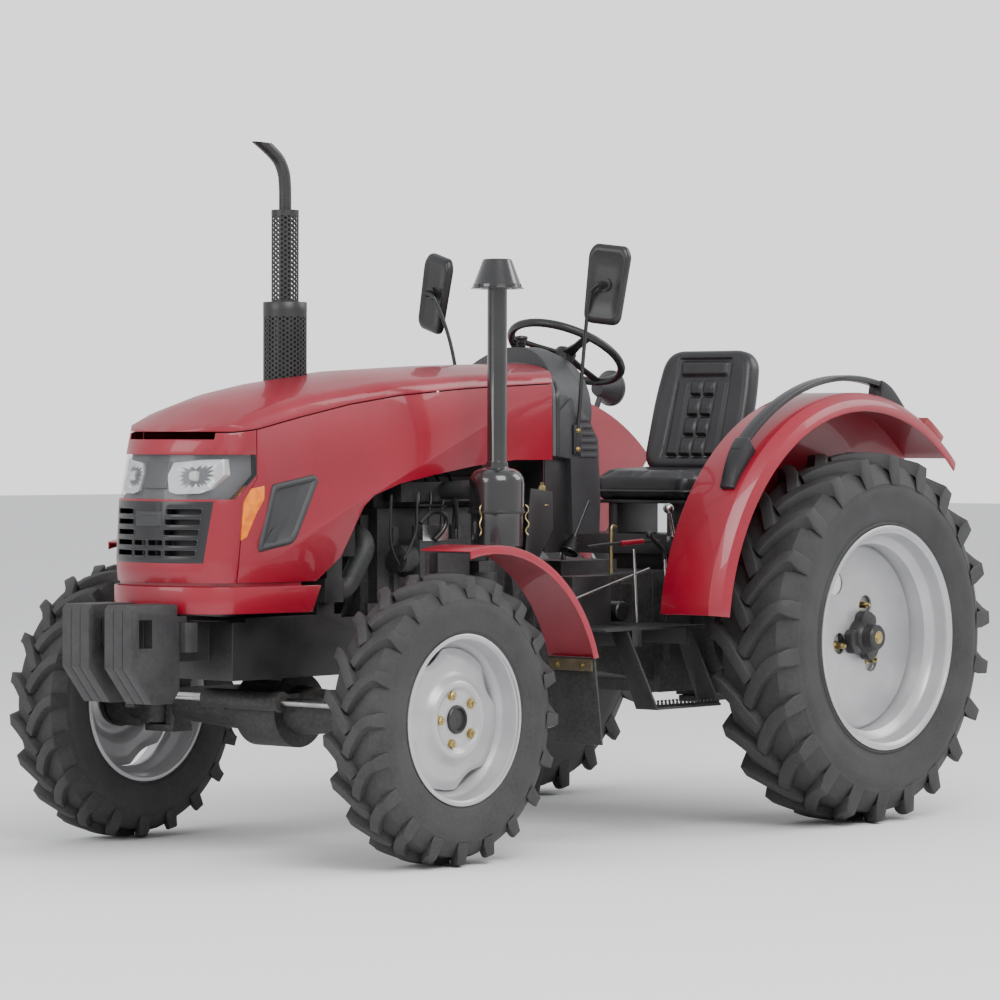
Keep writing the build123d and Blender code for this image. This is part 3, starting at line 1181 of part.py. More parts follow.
def front_flap():
    """Left rubber flap under the front fender's rear end."""
    x, z = front_fender_line()[-1]
    outline = [(x + SHEET, z - 1), (x + 8 + SHEET, z - 1), (x - 26, FLAP_BOTTOM), (x - 34, FLAP_BOTTOM)]
    return side_plate(outline, (FRONT_FENDER_INNER_Y + 6, FRONT_FENDER_OUTER_Y - 10))


# ---------------------------------------------------------------- rear linkage
def lower_links():
    """The two lower links with a ball end at each rear end."""
    start = Vector(LINK_PIVOT_X, LINK_PIVOT_Y, LINK_PIVOT_Z)
    end = Vector(LINK_BALL_X, LINK_BALL_Y, LINK_BALL_Z)
    line = end - start
    plane = Plane(origin=start, x_dir=line, z_dir=Vector(0, 0, 1).cross(line))
    span = line.length
    shank = plane * (Pos(span / 2, 0, 0) * Box(span - BALL_DIAMETER + 8, LINK_BAR_HEIGHT,
                                               LINK_BAR_THICKNESS))
    half = BALL_WIDTH / 2
    left = shank
    for point, wide in ((start, half), (end, half)):
        left += bar((point.X, point.Y - wide, point.Z), (point.X, point.Y + wide, point.Z), BALL_DIAMETER)
    for point in (start, end):
        left -= bar((point.X, point.Y - 60, point.Z), (point.X, point.Y + 60, point.Z), LOWER_BORE)
    return both_sides(left)


def link_brackets():
    """Pins and brackets under the rear axle that carry the lower links, and the drawbar."""
    x, y, z = LINK_PIVOT_X, LINK_PIVOT_Y, LINK_PIVOT_Z
    pin = bar((x, CENTRE_HALF_WIDTH, z), (x, y + BALL_WIDTH / 2 + 16, z), LOWER_BORE - 0.6)
    pin += block((x - 40, x + 40), (CENTRE_HALF_WIDTH, CENTRE_HALF_WIDTH + 18), (z - 35, z + 45))
    pin += bar((x, y + BALL_WIDTH / 2 + 6, z), (x, y + BALL_WIDTH / 2 + 16, z), 44)
    hitch = block((DRAWBAR_REAR_X, -60), (-38, 38), (DRAWBAR_Z, DRAWBAR_Z + DRAWBAR_THICKNESS))
    hole_x = DRAWBAR_REAR_X + DRAWBAR_EDGE
    hitch -= bar((hole_x, 0, DRAWBAR_Z - 60), (hole_x, 0, DRAWBAR_Z + 60), DRAWBAR_BORE)
    hitch += block((CENTRE_REAR_X - 30, CENTRE_REAR_X + 150), (-70, 70),
                   (DRAWBAR_Z + DRAWBAR_THICKNESS, CENTRE_BOTTOM))
    return Compound(list(both_sides(pin).solids()) + list(hitch.solids()))


def pto_shaft():
    """The splined stub at the rear and its bearing cap."""
    cap = bar((CENTRE_REAR_X, 0, PTO_Z), (CENTRE_REAR_X - PTO_CAP_LENGTH, 0, PTO_Z), 120)
    return cap + bar((CENTRE_REAR_X - PTO_CAP_LENGTH + 2, 0, PTO_Z), (PTO_END_X, 0, PTO_Z), PTO_DIAMETER)


def pto_guard():
    """The bent guard over the stub shaft."""
    outer = block((PTO_END_X + 10, CENTRE_REAR_X), (-110, 110), (PTO_Z + 100, PTO_Z + 106))
    for side in LUG_SIDES:
        outer += block((PTO_END_X + 10, CENTRE_REAR_X), sorted((side * 104, side * 110)),
                       (PTO_Z, PTO_Z + 102))
    return outer


def lift_arms():
    """The rockshaft and its two arms."""
    shaft = bar((ROCKSHAFT_X, -LIFT_ARM_Y - 12, ROCKSHAFT_Z), (ROCKSHAFT_X, LIFT_ARM_Y + 12, ROCKSHAFT_Z),
                ROCKSHAFT_DIAMETER)
    start = Vector(ROCKSHAFT_X, LIFT_ARM_Y, ROCKSHAFT_Z)
    end = Vector(LIFT_ARM_END_X, LIFT_ARM_Y, LIFT_ARM_END_Z)
    arm = arm_bar(start, end, 64, 24)
    arm -= bar((end.X, end.Y - 40, end.Z), (end.X, end.Y + 40, end.Z), PIN_DIAMETER + 0.6)
    return shaft + arm + mirror(arm, Plane.XZ)


def arm_bar(start, end, height, thickness):
    """A flat bar with round ends between two points in a plane across y."""
    line = end - start
    plane = Plane(origin=start, x_dir=line, z_dir=(0, 1, 0))
    shape = extrude(plane * (Pos(line.length / 2, 0) * Rectangle(line.length, height)), thickness / 2,
                    both=True)
    for point in (start, end):
        shape += bar((point.X, point.Y - thickness / 2, point.Z),
                     (point.X, point.Y + thickness / 2, point.Z), height)
    return shape


def lift_rods():
    """The lift rods that hang on the arms' pins, open at the lower eye."""
    rod_y = LIFT_ARM_Y + 34
    start = Vector(LIFT_ARM_END_X, rod_y, LIFT_ARM_END_Z)
    foot = rod_foot()
    end = Vector(foot[0], foot[1] + 44, foot[2])
    left = bar(tuple(start), tuple(end), LIFT_ROD)
    for point in (start, end):
        left += bar((point.X, point.Y - 14, point.Z), (point.X, point.Y + 14, point.Z), 46)
    left += bar((start.X, LIFT_ARM_Y - 22, start.Z), (start.X, rod_y, start.Z), PIN_DIAMETER)
    return both_sides(left)


def rod_foot():
    """Where the lift rod meets the lower link."""
    start = Vector(LINK_PIVOT_X, LINK_PIVOT_Y, LINK_PIVOT_Z)
    end = Vector(LINK_BALL_X, LINK_BALL_Y, LINK_BALL_Z)
    return tuple(start + (end - start) * LINK_ROD_SHARE)


def top_link_end():
    """Centre of the top link's free eye."""
    lean = math.radians(TOP_LINK_ANGLE)
    return (TOP_LINK_PIVOT_X - TOP_LINK_LENGTH * math.cos(lean), 0,
            TOP_LINK_PIVOT_Z + TOP_LINK_LENGTH * math.sin(lean))


def link_ball():
    """Centre of the left lower link's ball end."""
    return (LINK_BALL_X, LINK_BALL_Y, LINK_BALL_Z)


def top_link():
    """The top link: turnbuckle barrel and an eye at each end, leaning back."""
    lean = math.radians(TOP_LINK_ANGLE)
    start = Vector(TOP_LINK_PIVOT_X, 0, TOP_LINK_PIVOT_Z)
    along = Vector(-math.cos(lean), 0, math.sin(lean))
    end = Vector(*top_link_end())
    link = bar(tuple(start + along * 16), tuple(end - along * 16), 24)
    link += bar(tuple(start + along * 90), tuple(end - along * 90), 40)
    for point in (start, end):
        link += bar((point.X, -TOP_EYE_WIDTH / 2, point.Z), (point.X, TOP_EYE_WIDTH / 2, point.Z), 50)
    link -= bar((start.X, -40, start.Z), (start.X, 40, start.Z), PIN_DIAMETER)
    link -= bar((end.X, -40, end.Z), (end.X, 40, end.Z), TOP_BORE)
    return link


# ---------------------------------------------------------------- assembly
def parts():
    """Every node's name and shape, still in the rear axle's frame."""
    shapes = dict(bodywork())
    fixed = (engine, engine_fittings, radiator, coolant_hose, transmission, lift_housing, front_frame,
             front_weights, front_axle, drive_shaft, silencer, silencer_guards, air_cleaner, dash_cowl,
             steering_column, mirrors, footplates, rear_fenders, fender_rails, tail_lamps, work_lamp, seat_cushion,
             seat_back, seat_mount, controls, link_brackets, pto_shaft, pto_guard, rear_axle_housings,
             steering_wheel, steering_rod, lower_links, lift_arms, lift_rods, top_link)
    for build in fixed:
        shapes[build.__name__] = build()
    pairs = {
        "knuckle": knuckle(),
        "front_fender": front_fender(),
        "front_flap": front_flap(),
        "front_rim": placed_wheel(front_rim(), FRONT_WHEEL, WHEELBASE),
        "front_tyre": placed_wheel(tyre(FRONT_WHEEL), FRONT_WHEEL, WHEELBASE),
        "rear_rim": placed_wheel(rear_rim(), REAR_WHEEL, 0),
        "rear_hub": placed_wheel(rear_hub(), REAR_WHEEL, 0),
        "rear_tyre": placed_wheel(tyre(REAR_WHEEL), REAR_WHEEL, 0),
    }
    for name, shape in pairs.items():
        shapes[name + "_left"] = shape
        shapes[name + "_right"] = right_hand(shape)
    return shapes


def main():
    """Writes one STEP file for each node."""
    os.makedirs("parts", exist_ok=True)
    for name, shape in parts().items():
        solids = [Pos(ORIGIN_SHIFT, 0, 0) * solid for solid in shape.solids()]
        export_step(solids[0] if len(solids) == 1 else Compound(solids), f"parts/{name}.step")


if __name__ == "__main__":
    main()
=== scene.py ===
"""Looks of a compact four-wheel-drive farm tractor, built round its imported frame."""
import json
import logging
import math
from dataclasses import dataclass
from enum import Enum
from typing import Callable, Iterable, Sequence

import bmesh
import bpy
from mathutils import Matrix, Vector


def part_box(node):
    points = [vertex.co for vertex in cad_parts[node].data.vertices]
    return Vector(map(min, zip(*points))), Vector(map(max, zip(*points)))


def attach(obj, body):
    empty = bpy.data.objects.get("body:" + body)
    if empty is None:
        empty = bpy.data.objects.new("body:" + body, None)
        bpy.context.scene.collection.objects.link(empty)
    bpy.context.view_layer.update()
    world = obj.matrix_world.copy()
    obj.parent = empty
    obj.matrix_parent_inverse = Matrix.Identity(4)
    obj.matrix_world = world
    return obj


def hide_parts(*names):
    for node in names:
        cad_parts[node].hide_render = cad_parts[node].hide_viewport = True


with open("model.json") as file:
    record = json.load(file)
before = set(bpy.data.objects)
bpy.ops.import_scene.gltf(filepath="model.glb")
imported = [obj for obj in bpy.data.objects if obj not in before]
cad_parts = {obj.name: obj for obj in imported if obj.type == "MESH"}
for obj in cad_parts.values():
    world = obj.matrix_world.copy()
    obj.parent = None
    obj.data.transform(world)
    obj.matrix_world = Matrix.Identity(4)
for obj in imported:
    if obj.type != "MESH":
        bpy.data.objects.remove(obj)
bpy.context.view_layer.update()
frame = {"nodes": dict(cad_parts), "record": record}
log = logging.getLogger("tractor")

Piece = bpy.types.Object
Point = tuple[float, float, float]
Pair = tuple[float, float]
Profile = Sequence[Pair]
Row = list[Vector]
Reach = Callable[[int, float], float]

MM = 0.001
FULL_TURN = 2 * math.pi
AHEAD, UP = Vector((1, 0, 0)), Vector((0, 0, 1))
BODY_OF = {node: body for body, nodes in frame["record"]["behaviour"]["bodies"].items() for node in nodes}
SLOT_OF = {row["node"]: row["material_slot"] for row in frame["record"]["subparts"]}


def middle(node: str) -> Vector:
    """The middle of a CAD node's box."""
    low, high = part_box(node)
    return (low + high) / 2


REAR_AXLE = middle("rear_tyre_left")


def at(x: float, y: float, z: float) -> Vector:
    """A point in metres from millimetres ahead of the rear axle, to the left and above the ground."""
    return Vector((REAR_AXLE.x + x * MM, y * MM, z * MM))


class Side(Enum):
    """The two sides of the tractor, by the sign of y."""

    LEFT = 1
    RIGHT = -1

    @property
    def word(self) -> str:
        """The side's name as the nodes and bodies spell it."""
        return self.name.lower()

    @property
    def out(self) -> Vector:
        """The way outwards."""
        return Vector((0, self.value, 0))

    def stands_for(self, node: str) -> tuple[str, ...]:
        """The CAD node of both sides, which the left piece replaces."""
        return (node,) if self is Side.LEFT else ()


class Slot(Enum):
    """The record's material slots."""

    RED = "red_paint"
    BLACK = "black_paint"
    ENGINE = "engine_paint"
    WEIGHT = "cast_weight"
    RIM = "rim_silver"
    TYRE = "tyre"
    RUBBER = "rubber"
    PLASTIC = "black_plastic"
    GRILLE = "grille_plastic"
    CLEAR = "lamp_clear"
    AMBER = "lamp_amber"
    LAMP_RED = "lamp_red"
    VINYL = "vinyl"
    STEEL = "bright_steel"


# ------------------------------------------------------------------ node trees
class Value:
    """A socket that takes part in arithmetic; each operator adds its Math node."""

    def __init__(self, tree: "Tree", socket: bpy.types.NodeSocket) -> None:
        """Wraps a socket of a tree."""
        self.tree = tree
        self.socket = socket

    def math(self, operation: str, first: object, second: object) -> "Value":
        """Adds a Math node and wraps its result."""
        return self.tree.out("ShaderNodeMath", {"operation": operation}, {0: first, 1: second})

    def __add__(self, other: object) -> "Value":
        """Sum."""
        return self.math("ADD", self, other)

    def __mul__(self, other: object) -> "Value":
        """Product."""
        return self.math("MULTIPLY", self, other)

    def __rsub__(self, other: object) -> "Value":
        """Difference from a number."""
        return self.math("SUBTRACT", other, self)

    def ramp(self, low: float, high: float) -> "Value":
        """A smooth step from 0 at low to 1 at high."""
        return self.tree.out("ShaderNodeMapRange", {"interpolation_type": "SMOOTHSTEP"},
                             {"Value": self, "From Min": low, "From Max": high})


class Tree:
    """A node tree that nodes are added to by one method."""

    def __init__(self, tree: bpy.types.NodeTree) -> None:
        """Empties and wraps a node tree."""
        tree.nodes.clear()
        self.tree = tree

    def node(self, kind: str, settings: dict | None = None, inputs: dict | None = None) -> bpy.types.Node:
        """Adds a node.

        Args:
            kind: the node's type.
            settings: properties set first.
            inputs: values or links by socket name or number.

        Returns:
            The new node.
        """
        node = self.tree.nodes.new(kind)
        for name, value in (settings or {}).items():
            setattr(node, name, value)
        for name, value in (inputs or {}).items():
            self.feed(node.inputs[name], value)
        return node

    def feed(self, socket: bpy.types.NodeSocket, value: object) -> None:
        """Sets a socket's value or links it.

        Args:
            socket: the input.
            value: a number, a colour, a Value or another node's socket.
        """
        if isinstance(value, Value):
            value = value.socket
        if isinstance(value, bpy.types.NodeSocket):
            self.tree.links.new(value, socket)
        elif isinstance(value, tuple) and socket.type == "RGBA":
            socket.default_value = (*value, 1)
        else:
            socket.default_value = value

    def out(self, kind: str, settings: dict | None = None, inputs: dict | None = None,
            output: int | str = 0) -> Value:
        """Adds a node and wraps one of its outputs."""
        return Value(self, self.node(kind, settings, inputs).outputs[output])

    def noise(self, where: object, scale: float, detail: float = 3.0) -> Value:
        """A noise texture's value at a position."""
        return self.out("ShaderNodeTexNoise", None, {"Vector": where, "Scale": scale, "Detail": detail})

    def blend(self, share: object, first: object, second: object) -> Value:
        """Two colours mixed by a share."""
        return self.out("ShaderNodeMix", {"data_type": "RGBA"}, {0: share, 6: first, 7: second}, 2)

    def end(self, kind: str, shader: Value) -> None:
        """Leads a shader to the tree's output node."""
        self.node(kind, None, {0: shader})


def new_material(name: str) -> tuple[bpy.types.Material, Tree, Value]:
    """An empty material, its tree and the object's own coordinates in it."""
    material = bpy.data.materials.new(name)
    material.use_nodes = True
    tree = Tree(material.node_tree)
    return material, tree, tree.out("ShaderNodeTexCoord", output="Object")


# ------------------------------------------------------------------ finishes
@dataclass(frozen=True)
class Finish:
    """A surface finish: two close colours, gloss, grain, weave, dust and wear."""

    name: str
    slot: Slot
    color: Point
    shade: Point
    roughness: float = 0.4
    metallic: float = 0.0
    coat: float = 0.0
    grain: float = 300.0
    bump: float = 0.05
    depth: float = 0.0004
    patch: float = 6.0
    dust: float = 0.0
    dust_color: Point = (0.16, 0.14, 0.12)
    wear: float = 0.0
    wear_color: Point = (0.2, 0.19, 0.18)
    alpha: float = 1.0
    weave: float = 0.0

    def material(self) -> bpy.types.Material:
        """Builds the finish's material, once."""
        found = bpy.data.materials.get(self.name)
        if found:
            return found
        material, tree, spot = new_material(self.name)
        broad = tree.noise(spot, self.patch, 4.0)
        fine = tree.noise(spot, self.grain, 2.0)
        speck = tree.noise(spot, self.grain * 0.21, 5.0)
        color = tree.blend(broad.ramp(0.3, 0.7), self.color, self.shade)
        broad_gloss, fine_gloss = 0.16, 0.06
        rough = broad * broad_gloss + fine * fine_gloss + (self.roughness - (broad_gloss + fine_gloss) / 2)
        height = fine
        if self.weave:
            height = fine * 0.3 + tree.out("ShaderNodeTexVoronoi", {"feature": "SMOOTH_F1"},
                                           {"Vector": spot, "Scale": self.weave, "Smoothness": 0.6})
        if self.wear:
            worn = speck.ramp(0.72 - self.wear * 0.2, 0.78)
            color = tree.blend(worn, color, self.wear_color)
            rough = rough + worn * 0.15
        if self.dust:
            dust_line = 1.3
            lower = 1.0 - tree.out("ShaderNodeSeparateXYZ", None, {0: spot}, 2).ramp(0.0, dust_line)
            film = (lower * 0.7 + 0.3) * speck.ramp(0.3, 0.75) * self.dust
            color = tree.blend(film, color, self.dust_color)
            rough = rough + film * 0.35
        bump = tree.out("ShaderNodeBump", None, {"Strength": self.bump, "Distance": self.depth, "Height": height})
        tree.end("ShaderNodeOutputMaterial", tree.out("ShaderNodeBsdfPrincipled", None, {
            "Base Color": color, "Roughness": rough, "Normal": bump, "Metallic": self.metallic,
            "Coat Weight": self.coat, "Coat Roughness": 0.035, "Alpha": self.alpha}))
        return material


RED_PAINT = Finish("red_enamel", Slot.RED, (0.30, 0.0, 0.017), (0.24, 0.0, 0.013), 0.40, coat=0.42,
                   grain=900, bump=0.02, patch=2.5, dust=0.03)
BLACK_PAINT = Finish("satin_black_enamel", Slot.BLACK, (0.012, 0.012, 0.013), (0.02, 0.02, 0.021), 0.38,
                     grain=600, bump=0.12, patch=9, dust=0.10, wear=0.15, wear_color=(0.06, 0.055, 0.05))
GLOSS_BLACK = Finish("gloss_black_enamel", Slot.BLACK, (0.010, 0.010, 0.011), (0.016, 0.016, 0.017), 0.20,
                     coat=0.8, grain=700, bump=0.04, patch=6, dust=0.06)
ENGINE_PAINT = Finish("charcoal_casting_paint", Slot.ENGINE, (0.014, 0.014, 0.015), (0.028, 0.028, 0.029),
                      0.5, grain=420, bump=0.35, depth=0.0008, patch=12, dust=0.28, wear=0.35,
                      wear_color=(0.09, 0.085, 0.08))
WEIGHT_PAINT = Finish("rough_cast_black", Slot.WEIGHT, (0.022, 0.022, 0.024), (0.034, 0.034, 0.036), 0.55,
                      grain=260, bump=0.5, depth=0.001, patch=10, dust=0.15, wear=0.2,
                      wear_color=(0.07, 0.068, 0.065))
RIM_PAINT = Finish("silver_grey_enamel", Slot.RIM, (0.50, 0.50, 0.51), (0.44, 0.44, 0.45), 0.34, 0.35,
                   coat=0.35, grain=700, bump=0.05, patch=7, dust=0.12, dust_color=(0.3, 0.28, 0.26))
TYRE_RUBBER = Finish("tyre_rubber", Slot.TYRE, (0.020, 0.020, 0.021), (0.034, 0.034, 0.035), 0.62,
                     grain=500, bump=0.25, depth=0.0006, patch=8, dust=0.35, dust_color=(0.085, 0.082, 0.078))
HOSE_RUBBER = Finish("hose_rubber", Slot.RUBBER, (0.016, 0.019, 0.018), (0.028, 0.032, 0.03), 0.55,
                     grain=400, bump=0.2, patch=14, dust=0.2)
SEAL_RUBBER = Finish("grey_seal_rubber", Slot.RUBBER, (0.09, 0.10, 0.10), (0.06, 0.07, 0.07), 0.5,
                     grain=400, bump=0.1, patch=14)
COWL_PLASTIC = Finish("grained_charcoal_plastic", Slot.PLASTIC, (0.030, 0.031, 0.034), (0.040, 0.041, 0.044),
                      0.48, grain=1500, bump=0.3, patch=4, weave=420.0)
GRIP_PLASTIC = Finish("wheel_grip_black", Slot.PLASTIC, (0.013, 0.013, 0.014), (0.02, 0.02, 0.021), 0.36,
                      grain=900, bump=0.2, patch=9)
GLOSS_PLASTIC = Finish("satin_black_plastic", Slot.GRILLE, (0.014, 0.014, 0.016), (0.02, 0.02, 0.022), 0.3,
                       grain=900, bump=0.08, patch=8)
VINYL = Finish("black_seat_vinyl", Slot.VINYL, (0.014, 0.014, 0.016), (0.022, 0.022, 0.024), 0.36,
               grain=1400, bump=0.25, depth=0.0005, patch=7, weave=650.0)
STEEL = Finish("ground_steel", Slot.STEEL, (0.55, 0.55, 0.54), (0.42, 0.41, 0.40), 0.28, 1.0,
               grain=800, bump=0.06, patch=20)
BRASS = Finish("yellow_zinc", Slot.STEEL, (0.52, 0.42, 0.20), (0.40, 0.32, 0.15), 0.36, 1.0,
               grain=700, bump=0.08, patch=60)
CHROME = Finish("bright_reflector", Slot.CLEAR, (0.95, 0.96, 0.97), (0.88, 0.89, 0.9), 0.2, 0.55,
                grain=60, bump=0.3, depth=0.003, patch=30)
LAMP_GREY = Finish("lamp_bezel_grey", Slot.CLEAR, (0.16, 0.16, 0.17), (0.12, 0.12, 0.13), grain=500, patch=12)
LAMP_BLOCK = Finish("lamp_middle_grey", Slot.CLEAR, (0.10, 0.10, 0.105), (0.08, 0.08, 0.085), 0.45,
                    grain=500, patch=12)
SMOKY_LENS = Finish("smoky_lens", Slot.CLEAR, (0.10, 0.105, 0.11), (0.08, 0.085, 0.09), 0.10, coat=1.0,
                    alpha=0.14, grain=200, bump=0.02, patch=5)
AMBER_LENS = Finish("amber_lens", Slot.AMBER, (0.95, 0.26, 0.0), (0.70, 0.13, 0.0), 0.45,
                    grain=120, bump=0.6, depth=0.003, patch=40)
RED_LENS = Finish("red_lens", Slot.LAMP_RED, (0.30, 0.004, 0.01), (0.24, 0.003, 0.008), 0.2, coat=1.0,
                  grain=120, bump=0.3, depth=0.001, patch=40)
MIRROR_GLASS = Finish("mirror_glass", Slot.STEEL, (0.8, 0.82, 0.84), (0.76, 0.78, 0.8), 0.12, 1.0,
                      grain=50, bump=0.01, patch=4)
RUST_YELLOW = Finish("yellow_primer", Slot.STEEL, (0.12, 0.095, 0.05), (0.07, 0.055, 0.03), 0.5,
                     grain=500, bump=0.2, patch=18, dust=0.3)
SLOT_FINISH = {finish.slot.value: finish for finish in (
    RED_PAINT, BLACK_PAINT, ENGINE_PAINT, WEIGHT_PAINT, RIM_PAINT, TYRE_RUBBER, HOSE_RUBBER, COWL_PLASTIC,
    GLOSS_PLASTIC, SMOKY_LENS, AMBER_LENS, RED_LENS, VINYL, STEEL)}
NODE_FINISH = {node: SLOT_FINISH[slot] for node, slot in SLOT_OF.items()}


# ------------------------------------------------------------------ mesh making
def link(name: str, data: bpy.types.ID) -> Piece:
    """An object of some data, linked to the scene."""
    piece = bpy.data.objects.new(name, data)
    bpy.context.scene.collection.objects.link(piece)
    return piece


def new_object(name: str, points: Iterable[Sequence[float]], faces: Iterable[Sequence[int]]) -> Piece:
    """A mesh object from points and faces."""
    mesh = bpy.data.meshes.new(name)
    mesh.from_pydata([tuple(p) for p in points], [], [tuple(f) for f in faces])
    return link(name, mesh)


def edit(piece: Piece, work: Callable[[bmesh.types.BMesh], object]) -> Piece:
    """Runs mesh work on a piece.

    Args:
        piece: the piece.
        work: takes the open mesh and changes it.

    Returns:
        The piece.
    """
    mesh = bmesh.new()
    mesh.from_mesh(piece.data)
    work(mesh)
    mesh.to_mesh(piece.data)
    mesh.free()
    return piece


def tidy(piece: Piece, distance: float = 1e-5) -> Piece:
    """Merges doubles and points every face outwards."""
    def work(mesh: bmesh.types.BMesh) -> None:
        """Merges and turns the faces."""
        bmesh.ops.remove_doubles(mesh, verts=mesh.verts, dist=distance)
        bmesh.ops.recalc_face_normals(mesh, faces=mesh.faces)
    return edit(piece, work)


def trim(piece: Piece, spot: Vector, way: Sequence[float]) -> Piece:
    """Cuts away what lies behind a plane through a spot."""
    return edit(piece, lambda mesh: bmesh.ops.bisect_plane(
        mesh, geom=mesh.verts[:] + mesh.edges[:] + mesh.faces[:], plane_co=spot, plane_no=way, clear_inner=True))


def turn_outwards(piece: Piece, way: Vector) -> Piece:
    """Flips an open sheet if its faces look against a direction."""
    def work(mesh: bmesh.types.BMesh) -> None:
        """Compares the faces' sum with the direction."""
        if sum((face.normal * face.calc_area() for face in mesh.faces), Vector()).dot(way) < 0:
            bmesh.ops.reverse_faces(mesh, faces=mesh.faces)
    return edit(piece, work)


def bake(piece: Piece) -> Piece:
    """Turns a piece's modifiers, or a curve, into a plain mesh.

    Args:
        piece: the mesh or curve object.

    Returns:
        The piece, or a new one in place of a curve.
    """
    graph = bpy.context.evaluated_depsgraph_get()
    graph.update()
    mesh = bpy.data.meshes.new_from_object(piece.evaluated_get(graph))
    old = piece.data
    piece.modifiers.clear()
    if piece.type == "CURVE":
        name = piece.name
        bpy.data.objects.remove(piece)
        return link(name, mesh)
    piece.data = mesh
    bpy.data.meshes.remove(old)
    return piece


def modify(piece: Piece, kind: str, **settings: object) -> Piece:
    """Runs one modifier of a kind, with its settings, into the piece's mesh."""
    modifier = piece.modifiers.new(kind.lower(), kind)
    for name, value in settings.items():
        setattr(modifier, name, value)
    return bake(piece)


def solidify(piece: Piece, thickness: float) -> Piece:
    """Gives a sheet its thickness, inwards."""
    return modify(piece, "SOLIDIFY", thickness=thickness, offset=-1.0, use_even_offset=True)


def bevel(piece: Piece, width: float, angle: float = 30.0) -> Piece:
    """Rounds a piece's edges that are sharper than an angle."""
    return modify(piece, "BEVEL", width=width, segments=2, limit_method="ANGLE", angle_limit=math.radians(angle))


def place(piece: Piece, finish: Finish, body: str = "chassis", replaces: Sequence[str] = (),
          angle: float = 35.0) -> Piece:
    """Finishes a piece: shading, material and the body it rides on.

    Args:
        piece: the finished mesh, in its place.
        finish: its surface finish.
        body: the CAD body that carries it.
        replaces: CAD nodes that it stands for.
        angle: edges sharper than this stay sharp.

    Returns:
        The piece.
    """
    piece.data.shade_smooth()
    if angle < 180:
        piece.data.set_sharp_from_angle(angle=math.radians(angle))
    piece.data.materials.clear()
    piece.data.materials.append(finish.material())
    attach(piece, body)
    if replaces:
        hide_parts(*replaces)
    log.info("piece %s on %s: %d faces", piece.name, body, len(piece.data.polygons))
    return piece


def sheet(name: str, rows: Sequence[Row], loop: bool = False) -> Piece:
    """A grid surface through rows of points.

    Args:
        name: the piece's name.
        rows: rows of as many points each.
        loop: whether each row's ends join.

    Returns:
        The surface.
    """
    count = len(rows[0])
    faces = [(r * count + c, r * count + (c + 1) % count, (r + 1) * count + (c + 1) % count, (r + 1) * count + c)
             for r in range(len(rows) - 1) for c in range(count if loop else count - 1)]
    return new_object(name, [p for row in rows for p in row], faces)


def across(half: Sequence[Vector]) -> Row:
    """A line from side to side, from its left half with the middle first."""
    return [Vector((p.x, -p.y, p.z)) for p in reversed(half[1:])] + list(half)


def join(name: str, pieces: Sequence[Piece]) -> Piece:
    """One object from several.

    Args:
        name: its name.
        pieces: the objects, which end as one.

    Returns:
        The whole.
    """
    for piece in pieces:
        piece.select_set(True)
    with bpy.context.temp_override(active_object=pieces[0], selected_editable_objects=list(pieces)):
        bpy.ops.object.join()
    pieces[0].name = name
    pieces[0].data.name = name
    return pieces[0]


def lathe(name: str, profile: Profile, centre: Vector, axis: str = "Y", steps: int = 96,
          reach: Reach | None = None) -> Piece:
    """A surface turned about an axis.

    Args:
        name: the piece's name.
        profile: (along, radius) points in metres, closed if the first and last are the same.
        centre: a point on the axis; "along" is measured from it.
        axis: "Y" or "Z".
        steps: faces round the axis.
        reach: gives a profile point's radius from its number and angle.

    Returns:
        The turned piece.
    """
    rows = []
    for index, (along, radius) in enumerate(profile):
        row = []
        for step in range(steps):
            turn = FULL_TURN * step / steps
            r = reach(index, turn) if reach else radius
            u, v = r * math.cos(turn), r * math.sin(turn)
            row.append(centre + Vector((u, along, v) if axis == "Y" else (u, v, along)))
        rows.append(row)
    return tidy(sheet(name, rows, loop=True), 1e-6)


def hoop(low: float, high: float, outer: float, inner: float) -> list[Pair]:
    """The closed profile of a ring with a square section."""
    return [(low, outer), (high, outer), (high, inner), (low, inner), (low, outer)]


def box(name: str, first: Vector, second: Vector, edge: float = 0.002) -> Piece:
    """A block with rounded edges between two opposite corners.

    Args:
        name: the piece's name.
        first: one corner.
        second: the corner across.
        edge: the edges' rounding.

    Returns:
        The block.
    """
    low, high = Vector(map(min, first, second)), Vector(map(max, first, second))
    corners = [(x, y, z) for x in (low[0], high[0]) for y in (low[1], high[1]) for z in (low[2], high[2])]
    faces = [(0, 1, 3, 2), (4, 6, 7, 5), (0, 4, 5, 1), (2, 3, 7, 6), (0, 2, 6, 4), (1, 5, 7, 3)]
    return bevel(tidy(new_object(name, corners, faces)), edge)


def plate(name: str, outline: Sequence[Sequence[float]], push: Vector, edge: float) -> Piece:
    """A plate with rounded edges from a closed outline, pushed along a vector.

    Args:
        name: the piece's name.
        outline: its points in order.
        push: the way and thickness.
        edge: the edges' rounding.

    Returns:
        The plate.
    """
    points = [Vector(p) for p in outline]
    count = len(points)
    faces = [tuple(range(count)), tuple(range(2 * count - 1, count - 1, -1))]
    faces += [(i, (i + 1) % count, (i + 1) % count + count, i + count) for i in range(count)]
    return bevel(tidy(new_object(name, points + [p + push for p in points], faces)), edge)


